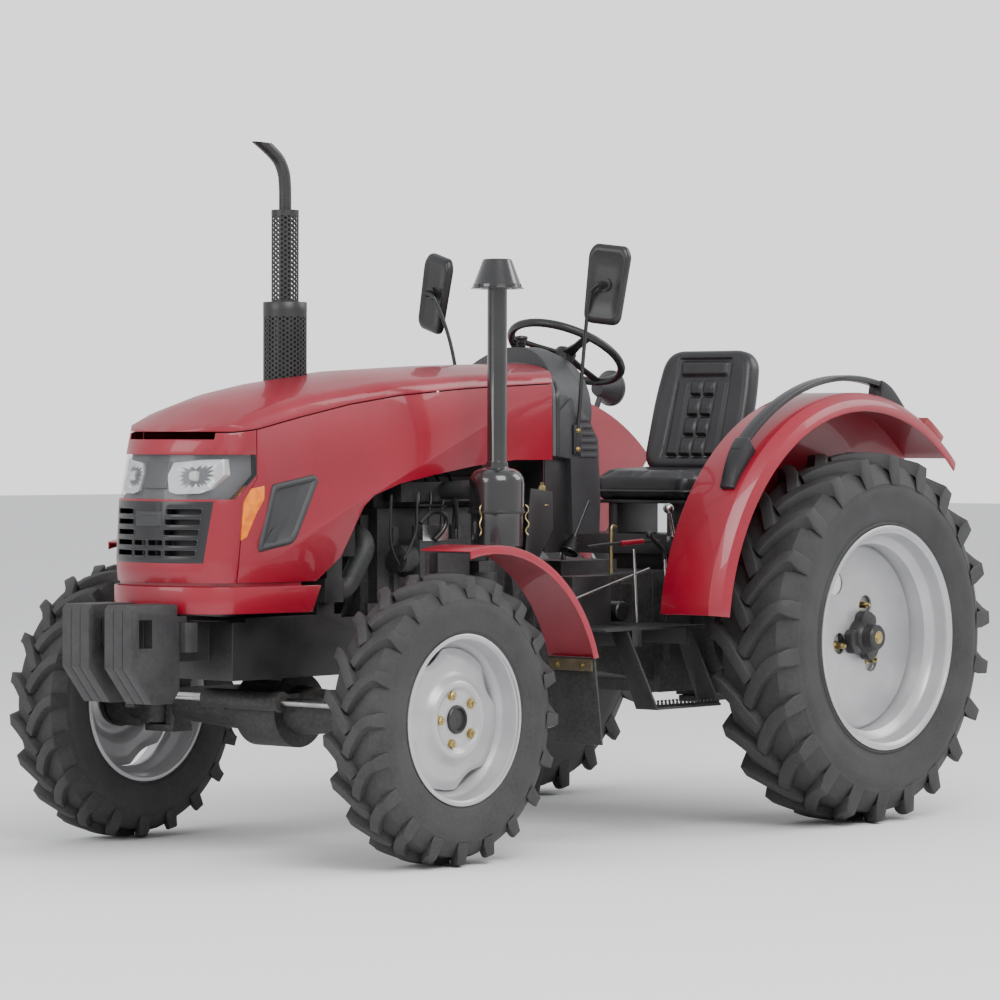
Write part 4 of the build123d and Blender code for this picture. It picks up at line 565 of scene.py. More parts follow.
def tube(name: str, points: Sequence[Vector], radius: float, order: int = 3, steps: int = 8,
         sides: int = 3) -> Piece:
    """A round bar, pipe or hose along a smooth line through control points.

    Args:
        name: the piece's name.
        points: control points of the line.
        radius: the bar's radius in metres.
        order: 2 keeps straight runs, 3 or 4 rounds the corners.
        steps: divisions of each run.
        sides: roundness of the section.

    Returns:
        The bar as a mesh.
    """
    curve = bpy.data.curves.new(name, "CURVE")
    curve.dimensions = "3D"
    curve.bevel_depth = radius
    curve.bevel_resolution = sides
    curve.use_fill_caps = True
    curve.resolution_u = steps
    spline = curve.splines.new("NURBS")
    spline.points.add(len(points) - 1)
    for target, point in zip(spline.points, points):
        target.co = (*point, 1)
    spline.order_u = order
    spline.use_endpoint_u = True
    return tidy(bake(link(name, curve)), 1e-6)


def rod(name: str, run: Sequence[Point], radius: float, order: int = 3) -> Piece:
    """A tube whose run is given in millimetres."""
    return tube(name, [at(*spot) for spot in run], radius, order)


def ring_tube(name: str, line: Sequence[Vector], radius: float, sides: int = 10, normal: Vector = UP) -> Piece:
    """A closed round bead along a ring of points.

    Args:
        name: the piece's name.
        line: the ring's points.
        radius: the bead's radius.
        sides: faces round the bead.
        normal: the way that the ring lies across.

    Returns:
        The bead.
    """
    count = len(line)
    rows = []
    for index in range(count):
        ahead = (line[(index + 1) % count] - line[index - 1]).normalized()
        side = ahead.cross(normal).normalized()
        up = side.cross(ahead)
        rows.append([line[index] + side * (radius * math.cos(FULL_TURN * s / sides))
                     + up * (radius * math.sin(FULL_TURN * s / sides)) for s in range(sides)])
    rows.append([p.copy() for p in rows[0]])
    return tidy(sheet(name, rows, loop=True), 1e-6)


def rounded_outline(corners: Profile, radius: float, inset: float = 0.0, steps: int = 5) -> list[Pair]:
    """A closed outline with its corners rounded.

    Args:
        corners: the corners in order.
        radius: how far from a corner its rounding starts.
        inset: how far the outline moves inwards.
        steps: points of each rounding.

    Returns:
        The outline's points.
    """
    sharpest, longest = 0.35, 0.45
    count = len(corners)
    area = sum(corners[i][0] * corners[(i + 1) % count][1] - corners[(i + 1) % count][0] * corners[i][1]
               for i in range(count))
    turn = 1 if area > 0 else -1
    moved = []
    for index in range(count):
        before, here, after = (Vector(corners[(index + k) % count]) for k in (-1, 0, 1))
        first, second = (Vector((-way.y, way.x)) * turn
                         for way in ((here - before).normalized(), (after - here).normalized()))
        moved.append(here + (first + second) * (inset / max(1 + first.dot(second), sharpest)))
    points = []
    for index in range(count):
        before, here, after = (moved[(index + k) % count] for k in (-1, 0, 1))
        reach = min(radius, longest * (here - before).length, longest * (after - here).length)
        start = here + (before - here).normalized() * reach
        end = here + (after - here).normalized() * reach
        for step in range(steps + 1):
            t = step / steps
            points.append(tuple(start * (1 - t) ** 2 + here * (2 * t * (1 - t)) + end * t ** 2))
    return points


def keep_inside(piece: Piece, node: str, spare: float) -> None:
    """Holds a piece's points inside a CAD node's box, with some to spare.

    Args:
        piece: the piece.
        node: the CAD node.
        spare: how far past the box a point may stand, in metres.
    """
    low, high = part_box(node)
    for vertex in piece.data.vertices:
        for axis in range(3):
            vertex.co[axis] = min(max(vertex.co[axis], low[axis] - spare), high[axis] + spare)


def carried(node: str, edge: float = 0.002, angle: float = 32.0) -> Piece:
    """A copy of a CAD node with merged faces and rounded edges, which stands for it.

    Args:
        node: the CAD node.
        edge: the width of the rounded edges in metres.
        angle: edges sharper than this are rounded and stay sharp.

    Returns:
        The new piece.
    """
    merge, flat = 1e-5, math.radians(0.8)

    def work(mesh: bmesh.types.BMesh) -> None:
        """Merges the loose triangles and joins the flat ones."""
        bmesh.ops.remove_doubles(mesh, verts=mesh.verts, dist=merge)
        bmesh.ops.recalc_face_normals(mesh, faces=mesh.faces)
        bmesh.ops.dissolve_limit(mesh, angle_limit=flat, verts=mesh.verts, edges=mesh.edges)
    piece = edit(link(node + "_skin", frame["nodes"][node].data.copy()), work)
    return place(bevel(piece, edge, angle), NODE_FINISH[node], BODY_OF[node], [node], angle)


# ------------------------------------------------------------------ repeated pieces
class Repeater:
    """The Geometry Nodes tree that repeats a piece along a step and round a turn."""

    INPUTS = {"Count": "NodeSocketInt", "Step": "NodeSocketVector", "Turn": "NodeSocketVector",
              "Centre": "NodeSocketVector"}

    def __init__(self) -> None:
        """Builds the tree."""
        self.group = bpy.data.node_groups.new("repeat_along_and_round", "GeometryNodeTree")
        sockets = self.group.interface
        for way in ("INPUT", "OUTPUT"):
            sockets.new_socket("Geometry", in_out=way, socket_type="NodeSocketGeometry")
        self.names = {name: sockets.new_socket(name, in_out="INPUT", socket_type=kind).identifier
                      for name, kind in self.INPUTS.items()}
        tree = Tree(self.group)
        given = tree.node("NodeGroupInput").outputs
        index = tree.out("GeometryNodeInputIndex")
        step, turn, back = (tree.out("ShaderNodeVectorMath", {"operation": "SCALE"}, {0: given[name], "Scale": by})
                            for name, by in (("Step", index), ("Turn", index), ("Centre", -1.0)))
        spot = tree.out("ShaderNodeVectorMath", {"operation": "ADD"}, {0: given["Centre"], 1: step})
        shifted = tree.out("GeometryNodeTransform", None, {"Geometry": given["Geometry"], "Translation": back})
        points = tree.out("GeometryNodePoints", None, {"Count": given["Count"], "Position": spot})
        angle = tree.out("FunctionNodeEulerToRotation", None, {0: turn})
        copies = tree.out("GeometryNodeInstanceOnPoints", None,
                          {"Points": points, "Instance": shifted, "Rotation": angle})
        tree.end("NodeGroupOutput", tree.out("GeometryNodeRealizeInstances", None, {"Geometry": copies}))

    def __call__(self, piece: Piece, count: int, step: Sequence[float] = (0, 0, 0),
                 turn: Sequence[float] = (0, 0, 0), centre: Sequence[float] = (0, 0, 0)) -> Piece:
        """Repeats a piece and bakes the copies into its mesh.

        Args:
            piece: the first copy, in its place.
            count: how many copies.
            step: move from one copy to the next, in metres.
            turn: turn from one copy to the next about the centre, in radians.
            centre: the turning centre.

        Returns:
            The piece with all its copies.
        """
        copier = piece.modifiers.new("copies", "NODES")
        copier.node_group = self.group
        for name, value in zip(self.INPUTS, (count, tuple(step), tuple(turn), tuple(centre))):
            copier[self.names[name]] = value
        return bake(piece)


repeat = Repeater()


def hex_bolt(name: str, spot: Vector, across_corners: float, height: float, axis: Vector,
             washer: float) -> Piece:
    """A hexagon head with a chamfered top, a stud's end and a washer.

    Args:
        name: the piece's name.
        spot: where its foot stands.
        across_corners: its width.
        height: the head's height.
        axis: the way it points.
        washer: the washer's radius.

    Returns:
        The bolt head.
    """
    turn = UP.rotation_difference(axis).to_matrix()
    r = across_corners / 2

    def rings(profile: Profile, sides: int) -> list[Row]:
        """Rings of points from (radius, height) pairs."""
        return [[spot + turn @ Vector((radius * math.cos(FULL_TURN * i / sides),
                                       radius * math.sin(FULL_TURN * i / sides), z)) for i in range(sides)]
                for radius, z in profile]
    head = [(r, 0.0), (r, height * 0.8), (r * 0.84, height), (r * 0.5, height), (r * 0.5, height * 1.35),
            (r * 0.02, height * 1.4)]
    disc = [(washer, 0.0), (washer, height * 0.14), (r * 0.9, height * 0.16)]
    return join(name, [tidy(sheet(name, rings(head, 6), loop=True), 1e-6),
                       sheet(name + "_washer", rings(disc, 20), loop=True)])


# ------------------------------------------------------------------ wheels
@dataclass
class Tyre:
    """A bar-lug tyre: smooth carcass with rib rings, and curved lugs."""

    axle: str
    side: Side
    flange: float
    lug_height: float
    lug_foot: float
    lug_width: float
    lug_count: int
    sweep: float = 0.5
    ground_gap: float = 0.0012
    end_slant: float = 0.12
    wall: tuple[Pair, ...] = (
        (0.885, 0.05), (0.90, 0.065), (0.905, 0.10), (0.935, 0.14), (0.965, 0.25), (0.985, 0.36), (1.0, 0.45),
        (1.0, 0.50), (0.985, 0.58), (0.955, 0.64), (0.96, 0.66), (0.93, 0.70), (0.86, 0.80), (0.80, 0.87))
    stations: tuple[Point, ...] = ((-0.07, -0.004, 0.95), (0.06, 0.0, 1.0), (0.25, 0.0, 1.0), (0.45, -0.001, 1.0),
                                   (0.65, -0.003, 1.0), (0.80, -0.006, 1.03), (0.91, -0.011, 1.1))

    def __post_init__(self) -> None:
        """Reads its place and outer sizes from the CAD node."""
        self.node = f"{self.axle}_tyre_{self.side.word}"
        low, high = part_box(self.node)
        self.centre = (low + high) / 2
        self.half = (high.y - low.y) / 2
        self.tip = self.centre.z - self.ground_gap
        self.crown = self.tip - self.lug_height

    def surface(self, share: float) -> float:
        """The carcass radius over the tread at a share of the half width."""
        return self.crown - 0.9 * self.lug_height * share ** 4

    def carcass(self) -> Piece:
        """Makes the sidewalls, shoulders and crown as one turned skin.

        Returns:
            The skin.
        """
        rise = self.crown - self.flange
        rim_low, rim_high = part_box(f"{self.axle}_rim_{self.side.word}")
        bead = ((rim_high.y - rim_low.y) / 2 - 0.006) / self.half
        wall = [(bead, -0.004), (bead, 0.010), (bead + 0.004, 0.025), *self.wall]
        outer = [(share * self.half, self.flange + part * rise) for share, part in wall]
        outer += [(share * self.half, self.surface(share)) for share in (0.7, 0.55, 0.35, 0.15)]
        throat = (0.74 * self.half, self.flange - 0.012)
        start = (-throat[0], throat[1])
        profile = [start] + [(-y, r) for y, r in outer] + [(0.0, self.crown)] + outer[::-1] + [throat, start]
        return lathe(self.node + "_carcass", profile, self.centre)

    def lug(self, side: int, phase: float) -> Piece:
        """Makes one curved bar lug about the tyre's axis.

        Args:
            side: the sign of the half it stands on.
            phase: its angle round the tyre.

        Returns:
            The lug.
        """
        reach = self.sweep * self.half
        rows = []
        for share, drop, wide in self.stations:
            run = min(max((share + 0.07) / 0.98, 0.0), 1.0)
            along = reach * (2.0 * (1.0 - run) ** 1.7 - 1.0)
            slant = math.atan2(3.4 * reach * (1.0 - run) ** 0.7, 0.98 * self.half) * 0.9
            base = self.surface(min(share, 0.9)) - 0.014
            half_wide = 0.5 * self.lug_width * wide
            top, foot = half_wide * 0.8, half_wide * 1.25
            rows.append([self.spot(side, share, along, slant, w, r) for w, r in (
                (-foot, base), (-top, self.tip + drop), (top, self.tip + drop), (foot, base))])
        end = [(-0.62, self.lug_foot), (-0.55, self.lug_foot + 0.004), (0.55, self.lug_foot + 0.004),
               (0.62, self.lug_foot)]
        rows.append([self.spot(side, 0.985, -reach, self.end_slant, w * self.lug_width * wide, r) for w, r in end])
        last = len(rows) - 1
        faces = [(4 * r + c, 4 * r + c + 1, 4 * r + c + 5, 4 * r + c + 4) for r in range(last) for c in range(3)]
        faces += [(4 * r + 3, 4 * r, 4 * r + 4, 4 * r + 7) for r in range(last)]
        faces += [(0, 1, 2, 3), tuple(4 * last + c for c in (3, 2, 1, 0))]
        piece = tidy(new_object(f"{self.node}_lugs_{side + 1}", [p for row in rows for p in row], faces))
        bevel(piece, 0.0035, 25.0)
        piece.data.transform(Matrix.Rotation(phase, 4, "Y"))
        return piece

    def spot(self, side: int, share: float, along: float, slant: float, offset: float, radius: float) -> Vector:
        """A lug's point, about the tyre's axis.

        Args:
            side: the sign of the half it stands on.
            share: its place out from the middle, as a share of the half width.
            along: its place along the tread.
            slant: the bar's angle there.
            offset: how far it stands from the bar's middle line.
            radius: its distance from the axis.

        Returns:
            The point.
        """
        turn = (along + offset * math.cos(slant)) / self.crown
        limit = 0.992 * self.half
        y = side * (share * self.half + offset * math.sin(slant))
        return Vector((radius * math.sin(turn), max(-limit, min(limit, y)), radius * math.cos(turn)))

    def build(self) -> None:
        """Makes the tyre and dresses it."""
        pieces = [self.carcass()]
        pitch = FULL_TURN / self.lug_count
        for index, side in enumerate((1, -1)):
            lugs = repeat(self.lug(side, (index / 2 + 0.25) * pitch), self.lug_count, turn=(0, pitch, 0))
            lugs.data.transform(Matrix.Translation(self.centre))
            pieces.append(lugs)
        place(join(self.node + "_rubber", pieces), TYRE_RUBBER, BODY_OF[self.node], [self.node], 38)


@dataclass
class Rim:
    """A pressed rim: rolled flanges, bead seats and drop well, and the disc inside it."""

    axle: str
    side: Side
    flange: float
    seat: float
    well: float
    half: float
    wall: float
    face: float

    def __post_init__(self) -> None:
        """Reads its place from the CAD nodes."""
        self.node = f"{self.axle}_rim_{self.side.word}"
        self.body = BODY_OF[self.node]
        self.centre = middle(f"{self.axle}_tyre_{self.side.word}")
        self.edge = self.well - self.wall

    def turned(self, word: str, outline: Profile, steps: int = 128, reach: Reach | None = None) -> Piece:
        """Turns an outline of (outwards, radius) points about the wheel's axis."""
        profile = [(self.side.value * y, r) for y, r in outline]
        return lathe(f"{self.node}_{word}", profile, self.centre, steps=steps, reach=reach)

    def silver(self, disc: Piece) -> None:
        """Makes the rim's ring, with lips, seats and well, joins the disc to it and dresses both.

        Args:
            disc: the wheel's disc.
        """
        h, bed = self.half, self.seat - self.wall
        lip = [(h - 0.001, self.flange - 0.012), (h, self.flange - 0.005), (h - 0.003, self.flange),
               (h - 0.008, self.flange - 0.001), (h - 0.012, self.flange - 0.007),
               (h - 0.014, self.seat + 0.005), (h - 0.02, self.seat), (h - 0.05, self.seat - 0.002),
               (h - 0.058, self.seat - 0.006), (h - 0.074, self.well + 0.004), (h - 0.082, self.well)]
        inner = [(h - 0.086, self.edge), (h - 0.078, self.edge + 0.002), (h - 0.062, bed - 0.006),
                 (h - 0.052, bed - 0.001), (h - 0.022, bed + 0.002), (h - 0.010, bed + 0.006),
                 (h - 0.004, bed + 0.016)]
        profile = lip + [(-y, r) for y, r in reversed(lip)] + [(-y, r) for y, r in reversed(inner)] + inner
        ring = self.turned("ring", profile + profile[:1])
        place(join(self.node + "_silver", [ring, disc]), RIM_PAINT, self.body, [self.node], 40)

    def bolts(self, word: str, start: Vector, across_corners: float, height: float, washer: float,
              count: int) -> None:
        """Makes a circle of bolts and dresses it.

        Args:
            word: the end of the piece's name.
            start: the first bolt's foot.
            across_corners: a head's width.
            height: a head's height.
            washer: the washers' radius.
            count: how many bolts.
        """
        bolt = hex_bolt(f"{self.node}_{word}", start, across_corners, height, self.side.out, washer)
        place(repeat(bolt, count, turn=(0, FULL_TURN / count, 0), centre=self.centre), BRASS, self.body)

    def spin(self, degrees: float, radius: float, out: float) -> Vector:
        """A point at an angle from straight up (forwards first), a radius and a distance outwards."""
        turn = math.radians(degrees)
        return self.centre + Vector((radius * math.sin(turn), self.side.value * out, radius * math.cos(turn)))


@dataclass
class FrontRim(Rim):
    """The front rim with its dished disc, edge openings, nuts and black hub."""

    flats: int = 4
    flat_turn: float = 0.47
    flat_depth: float = 0.026
    bolt_circle: float = 0.078
    nuts: int = 5
    hub: float = 0.044
    gauge: float = 0.006
    flat_foot: float = 0.150

    def disc(self) -> Piece:
        """Makes the dished disc with flattened places that leave openings at the rim.

        Returns:
            The disc.
        """
        f, edge, foot = self.face, self.edge, self.flat_foot
        outline = [(f - 0.012, edge), (f - 0.010, edge - 0.010), (f - 0.002, edge - 0.024), (f, edge - 0.034),
                   (f + 0.001, foot), (f + 0.004, 0.140), (f + 0.014, 0.128), (f + 0.024, 0.121),
                   (f + 0.030, 0.115), (f + 0.032, 0.108), (f + 0.029, 0.100), (f + 0.022, 0.093),
                   (f + 0.018, 0.088), (f + 0.0175, 0.08), (f + 0.0175, self.hub)]
        profile = outline + [(y - self.gauge, r) for y, r in reversed(outline)] + outline[:1]

        def reach(index: int, turn: float) -> float:
            """A profile point's radius, with the edge pulled in at the flats."""
            radius, swing = profile[index][1], math.cos(self.flats * (turn + self.flat_turn))
            share = min(max((radius - foot) / (edge - foot), 0.0), 1.0)
            return radius - self.flat_depth * max(0.0, swing - 0.25) / 0.75 * share
        return self.turned("disc", profile, 144, reach)

    def build(self) -> None:
        """Makes the rim, disc, nuts and hub, and dresses them."""
        self.silver(self.disc())
        f, r = self.face, self.hub
        self.bolts("nuts", self.spin(90, self.bolt_circle, f + 0.0175), 0.027, 0.013, 0.017, self.nuts)
        hub = [(f - 0.02, r - 0.001), (f + 0.024, r - 0.001), (f + 0.027, r - 0.004), (f + 0.027, r - 0.009),
               (f + 0.018, r - 0.012), (f + 0.016, 0.001)]
        place(self.turned("hub", hub, 48), BLACK_PAINT, self.body)
        place(self.turned("flange", hoop(f - 0.012, f + 0.004, 0.088, 0.03), 48), BLACK_PAINT, self.body)
        valve = [self.spin(60, self.seat - 0.006, self.half - 0.05),
                 self.spin(60, self.seat - 0.03, self.half - 0.04)]
        place(tube(self.node + "_valve", valve, 0.005, 2), BLACK_PAINT, self.body)


@dataclass
class RearRim(Rim):
    """The rear rim with its flat inset disc, round hole, recesses and clamp hub."""

    hole_turn: float = 36.0
    hole: float = 0.040
    first: float = -16.0
    lobes: int = 3
    bolt_circle: float = 0.112
    bore: float = 0.060
    arm: tuple[Pair, ...] = ((-70, 0.040), (-34, 0.076), (-22, 0.088), (0, 0.090), (22, 0.088), (34, 0.076),
                             (70, 0.040))

    def disc(self) -> Piece:
        """Makes the flat disc with its valve hole, the openings beyond the bolts and its bore.

        Returns:
            The disc.
        """
        edge, f, w = self.edge, self.face, self.wall
        piece = self.turned("disc", [
            (f - 0.012, edge), (f - 0.003, edge - 0.010), (f, edge - 0.016), (f, self.bore), (f - w, self.bore),
            (f - w, edge - 0.018), (f - w - 0.003, edge - 0.012), (f - w - 0.012, edge), (f - 0.012, edge)], 160)
        holes = [(self.hole_turn, edge - 0.088, self.hole)]
        holes += [(self.first + 360 / self.lobes * index - 4, self.bolt_circle, 0.036)
                  for index in range(self.lobes)]
        cutter = join("cutters", [lathe(f"cutter_{index}", [(-0.03, 0.0), (-0.03, size), (0.03, size), (0.03, 0.0)],
                                        self.spin(angle, distance, f), "Y", 40)
                                  for index, (angle, distance, size) in enumerate(holes)])
        modify(piece, "BOOLEAN", object=cutter, operation="DIFFERENCE", solver="EXACT")
        bpy.data.objects.remove(cutter)
        return piece

    def clamp(self) -> Piece:
        """Makes the black casting: a boss with bolted arms round the shaft's nose.

        Returns:
            The casting.
        """
        f = self.face
        boss = [(f + 0.001, 0.062), (f + 0.030, 0.058), (f + 0.046, 0.046), (f + 0.078, 0.043),
                (f + 0.084, 0.038), (f + 0.084, 0.001)]
        pieces = [self.turned("boss", boss, 40)]
        for index in range(self.lobes):
            middle_line = self.first + 360 / self.lobes * index
            spots = [self.spin(middle_line + swing, radius, f + 0.001) for swing, radius in self.arm]
            pieces.append(plate(f"{self.node}_arm_{index}", spots, self.side.out * 0.034, 0.004))
        return join(self.node + "_clamp", pieces)

    def build(self) -> None:
        """Makes the rim, disc, clamp, bolts and the dish behind, and dresses them."""
        self.silver(self.disc())
        f = self.face
        place(self.clamp(), BLACK_PAINT, self.body, [f"rear_hub_{self.side.word}"], 30)
        self.bolts("bolts", self.spin(self.first, self.bolt_circle, f - 0.019), 0.024, 0.032, 0.016, self.lobes)
        self.bolts("end_bolt", self.spin(0, 0.0, f + 0.0835), 0.030, 0.0065, 0.022, 1)
        place(self.turned("plate", hoop(f - 0.021, f - 0.0075, 0.092, 0.02), 48), BLACK_PAINT, self.body)
        dish = [(f - 0.008, 0.160), (f - 0.020, 0.150), (f - 0.020, self.bore), (f - 0.023, self.bore),
                (f - 0.023, 0.153), (f - 0.010, 0.163), (f - 0.008, 0.160)]
        place(self.turned("dish", dish, 64), RIM_PAINT, self.body)


# ------------------------------------------------------------------ exhaust and air cleaner
@dataclass
class Exhaust:
    """The silencer's perforated sleeves and the bent pipe."""

    x: float = 1925
    y: float = -80
    lower: float = 0.070
    upper: float = 0.044
    foot: float = 1474
    split: float = 1736
    top: float = 2029
    bend: float = 2110
    tip_x: float = 2018
    tip_z: float = 2240
    pipe: float = 0.020
    pitch: float = 0.0148
    hole: float = 0.0046
    wall: float = 0.0022

    def cell(self, radius: float, swing: float, shift: float) -> list[Row]:
        """The square border and the round hole of one cell of a sleeve.

        Args:
            radius: the sleeve's radius.
            swing: the cell's width as an angle.
            shift: how many cells it stands up and, doubled, round.

        Returns:
            Both lines of eight points, about the sleeve's foot.
        """
        lines = []
        for wide, tall in ((swing / 2, self.pitch / 2), (self.hole / radius, self.hole)):
            line = []
            for step in range(8):
                u, v = math.cos(math.pi / 4 * step), math.sin(math.pi / 4 * step)
                square = 1 / max(abs(u), abs(v)) if not lines else 1.0
                turn = u * square * wide + 2 * shift * swing
                line.append(Vector((radius * math.cos(turn), radius * math.sin(turn),
                                    v * square * tall + (0.5 + shift) * self.pitch)))
            lines.append(line)
        return lines

    def sleeve(self, name: str, radius: float, low: float, high: float, columns: int) -> Piece:
        """A perforated tube with staggered holes and plain bands at its ends.

        Args:
            name: the piece's name.
            radius: outer radius in metres.
            low: height of the first holes' cell in millimetres.
            high: height where the holes end.
            columns: columns of holes round the tube, an even number.

        Returns:
            The tube's sheet with its thickness.
        """
        axis = at(self.x, self.y, low)
        swing = FULL_TURN / columns
        count = int((high - low) * MM / self.pitch)
        pieces = []
        for shift, cells in ((0.0, count), (0.5, count - 1)):
            rows = [[axis + p for p in line] for line in self.cell(radius, swing, shift)]
            column = repeat(sheet(name, rows, loop=True), cells, step=(0, 0, self.pitch))
            pieces.append(repeat(column, columns // 2, turn=(0, 0, 2 * swing), centre=axis))
        half, tall = 0.5 * self.pitch, (high - low) * MM
        for index, ends in enumerate(((-0.010, half), (count * self.pitch - half, tall))):
            pieces.append(lathe(f"{name}_band_{index}", [(end, radius + 0.0003) for end in ends], axis, "Z",
                                columns * 2))
        return solidify(join(name, pieces), self.wall)

    def end(self, name: str, radius: float, height: float, squash: float) -> Piece:
        """A sleeve's end plate with its turned-down rim and the pipe's hole.

        Args:
            name: the piece's name.
            radius: its outer radius.
            height: the top's height in millimetres.
            squash: the share of the full rim's depth.

        Returns:
            The plate.
        """
        outline = [(-0.028, radius), (-0.001, radius), (0, radius - 0.001), (0, self.pipe), (-0.003, self.pipe),
                   (-0.003, radius - 0.003), (-0.028, radius - 0.003), (-0.028, radius)]
        return lathe(name, [(along * squash, r) for along, r in outline], at(self.x, self.y, height), "Z", 72)

    def build(self) -> None:
        """Makes the sleeves, their end plates and the pipe, and dresses them."""
        guards = [self.sleeve("lower_sleeve", self.lower - 0.0004, self.foot, self.split - 28, 36),
                  self.sleeve("upper_sleeve", self.upper - 0.0004, self.split, self.top - 8, 24),
                  self.end("split_plate", self.lower, self.split, 1.0),
                  self.end("top_plate", self.upper, self.top, 0.3)]
        place(join("exhaust_guards", guards), BLACK_PAINT, replaces=["silencer_guards"], angle=50)
        run = [at(self.x, self.y, z) for z in (1500, 1800, 2060, 2100)]
        run += [at(self.x + 6, self.y, self.bend + 45), at(self.x + 46, self.y, self.bend + 98),
                at(self.tip_x + 60, self.y, self.tip_z + 22)]
        pipe = trim(tube("exhaust_pipe", run, self.pipe, 3, 14, 7), at(self.tip_x, self.y, self.tip_z - 2.4), -UP)
        can = [(-0.20, 0.001), (-0.20, 0.05), (-0.19, 0.056), (0.19, 0.056), (0.20, 0.05), (0.20, 0.001)]
        body = lathe("silencer_body", can, at(self.x, self.y, 1510), "Z", 64)
        place(join("silencer_and_pipe", [solidify(pipe, 0.0025), body]), BLACK_PAINT, replaces=["silencer"],
              angle=50)


@dataclass
class AirCleaner:
    """The oil-bath air cleaner with its clips, clamp band, stack and cap."""

    x: float = 1481
    y: float = 430
    radius: float = 0.089
    low: float = 947
    seam: float = 1069
    high: float = 1209
    stack: float = 0.0315
    cap_low: float = 1780
    cap_high: float = 1875
    cap: float = 0.085
    crown: float = 0.046
    clips: tuple[float, ...] = (8.0, 128.0, 248.0)
    wire: tuple[Pair, ...] = ((0.002, 0.022), (0.010, 0.018), (0.012, 0.002), (0.003, -0.006), (0.001, -0.02),
                              (0.012, -0.034), (0.013, -0.045), (0.004, -0.052), (0.002, -0.066), (0.012, -0.074))

    def rise(self, height: float) -> float:
        """A height as a distance over the bowl's foot, in metres."""
        return (height - self.low) * MM

    def build(self) -> None:
        """Makes the cleaner's pieces and dresses them."""
        foot = at(self.x, self.y, self.low)
        r, s, top, neck = self.radius, self.rise(self.seam), self.rise(self.high), self.stack
        brim, peak = self.rise(self.cap_low), self.rise(self.cap_high)
        can = [(0.0, 0.001), (0.0, r - 0.030), (0.004, r - 0.014), (0.014, r - 0.006), (s - 0.016, r - 0.005),
               (s - 0.006, r - 0.004), (s - 0.003, r - 0.0005), (s + 0.003, r - 0.0005), (s + 0.006, r - 0.001),
               (top - 0.046, r - 0.0005), (top - 0.030, r - 0.003), (top - 0.012, r - 0.016),
               (top - 0.003, r - 0.032), (top, neck + 0.008), (top + 0.004, neck + 0.005),
               (top + 0.018, neck + 0.004), (top + 0.020, neck + 0.001), (top + 0.024, neck),
               (brim + 0.004, neck), (brim + 0.004, neck + 0.02), (brim, self.cap - 0.012), (brim, self.cap),
               (brim + 0.003, self.cap), (brim + 0.005, self.cap - 0.006), (brim + 0.014, self.cap - 0.0075),
               (brim + 0.017, self.cap - 0.010), (peak - 0.004, self.crown + 0.001),
               (peak - 0.0015, self.crown - 0.001), (peak, self.crown - 0.004), (peak, 0.001)]
        place(lathe("air_cleaner_can", can, foot, "Z"), GLOSS_BLACK, replaces=["air_cleaner"], angle=28)
        band = lathe("air_cleaner_band", hoop(s - 0.005, s + 0.005, r + 0.0025, r - 0.001), foot, "Z")
        place(bevel(band, 0.001), BLACK_PAINT)
        outlet = [at(self.x, y, self.high - drop) for y, drop in (
            (self.y - 10, 70), (self.y - 120, 70), (self.y - 170, 72), (200, 76))]
        place(tube("air_outlet", outlet, 0.030, 3, 8, 6), HOSE_RUBBER)
        clips = []
        for index, turn in enumerate(map(math.radians, self.clips)):
            out, seam = Vector((math.cos(turn), math.sin(turn), 0)), foot + UP * s
            line = [seam + out * (r + reach) + UP * height for reach, height in self.wire]
            clips.append(tube(f"clip_{index}", line, 0.0024, 3, 6, 3))
            pad = [seam + out * (r - 0.001) + UP * height for height in (-0.062, 0.026)]
            clips.append(tube(f"clip_pad_{index}", pad, 0.006, 2, 1, 3))
        place(join("air_cleaner_clips", clips), BRASS)


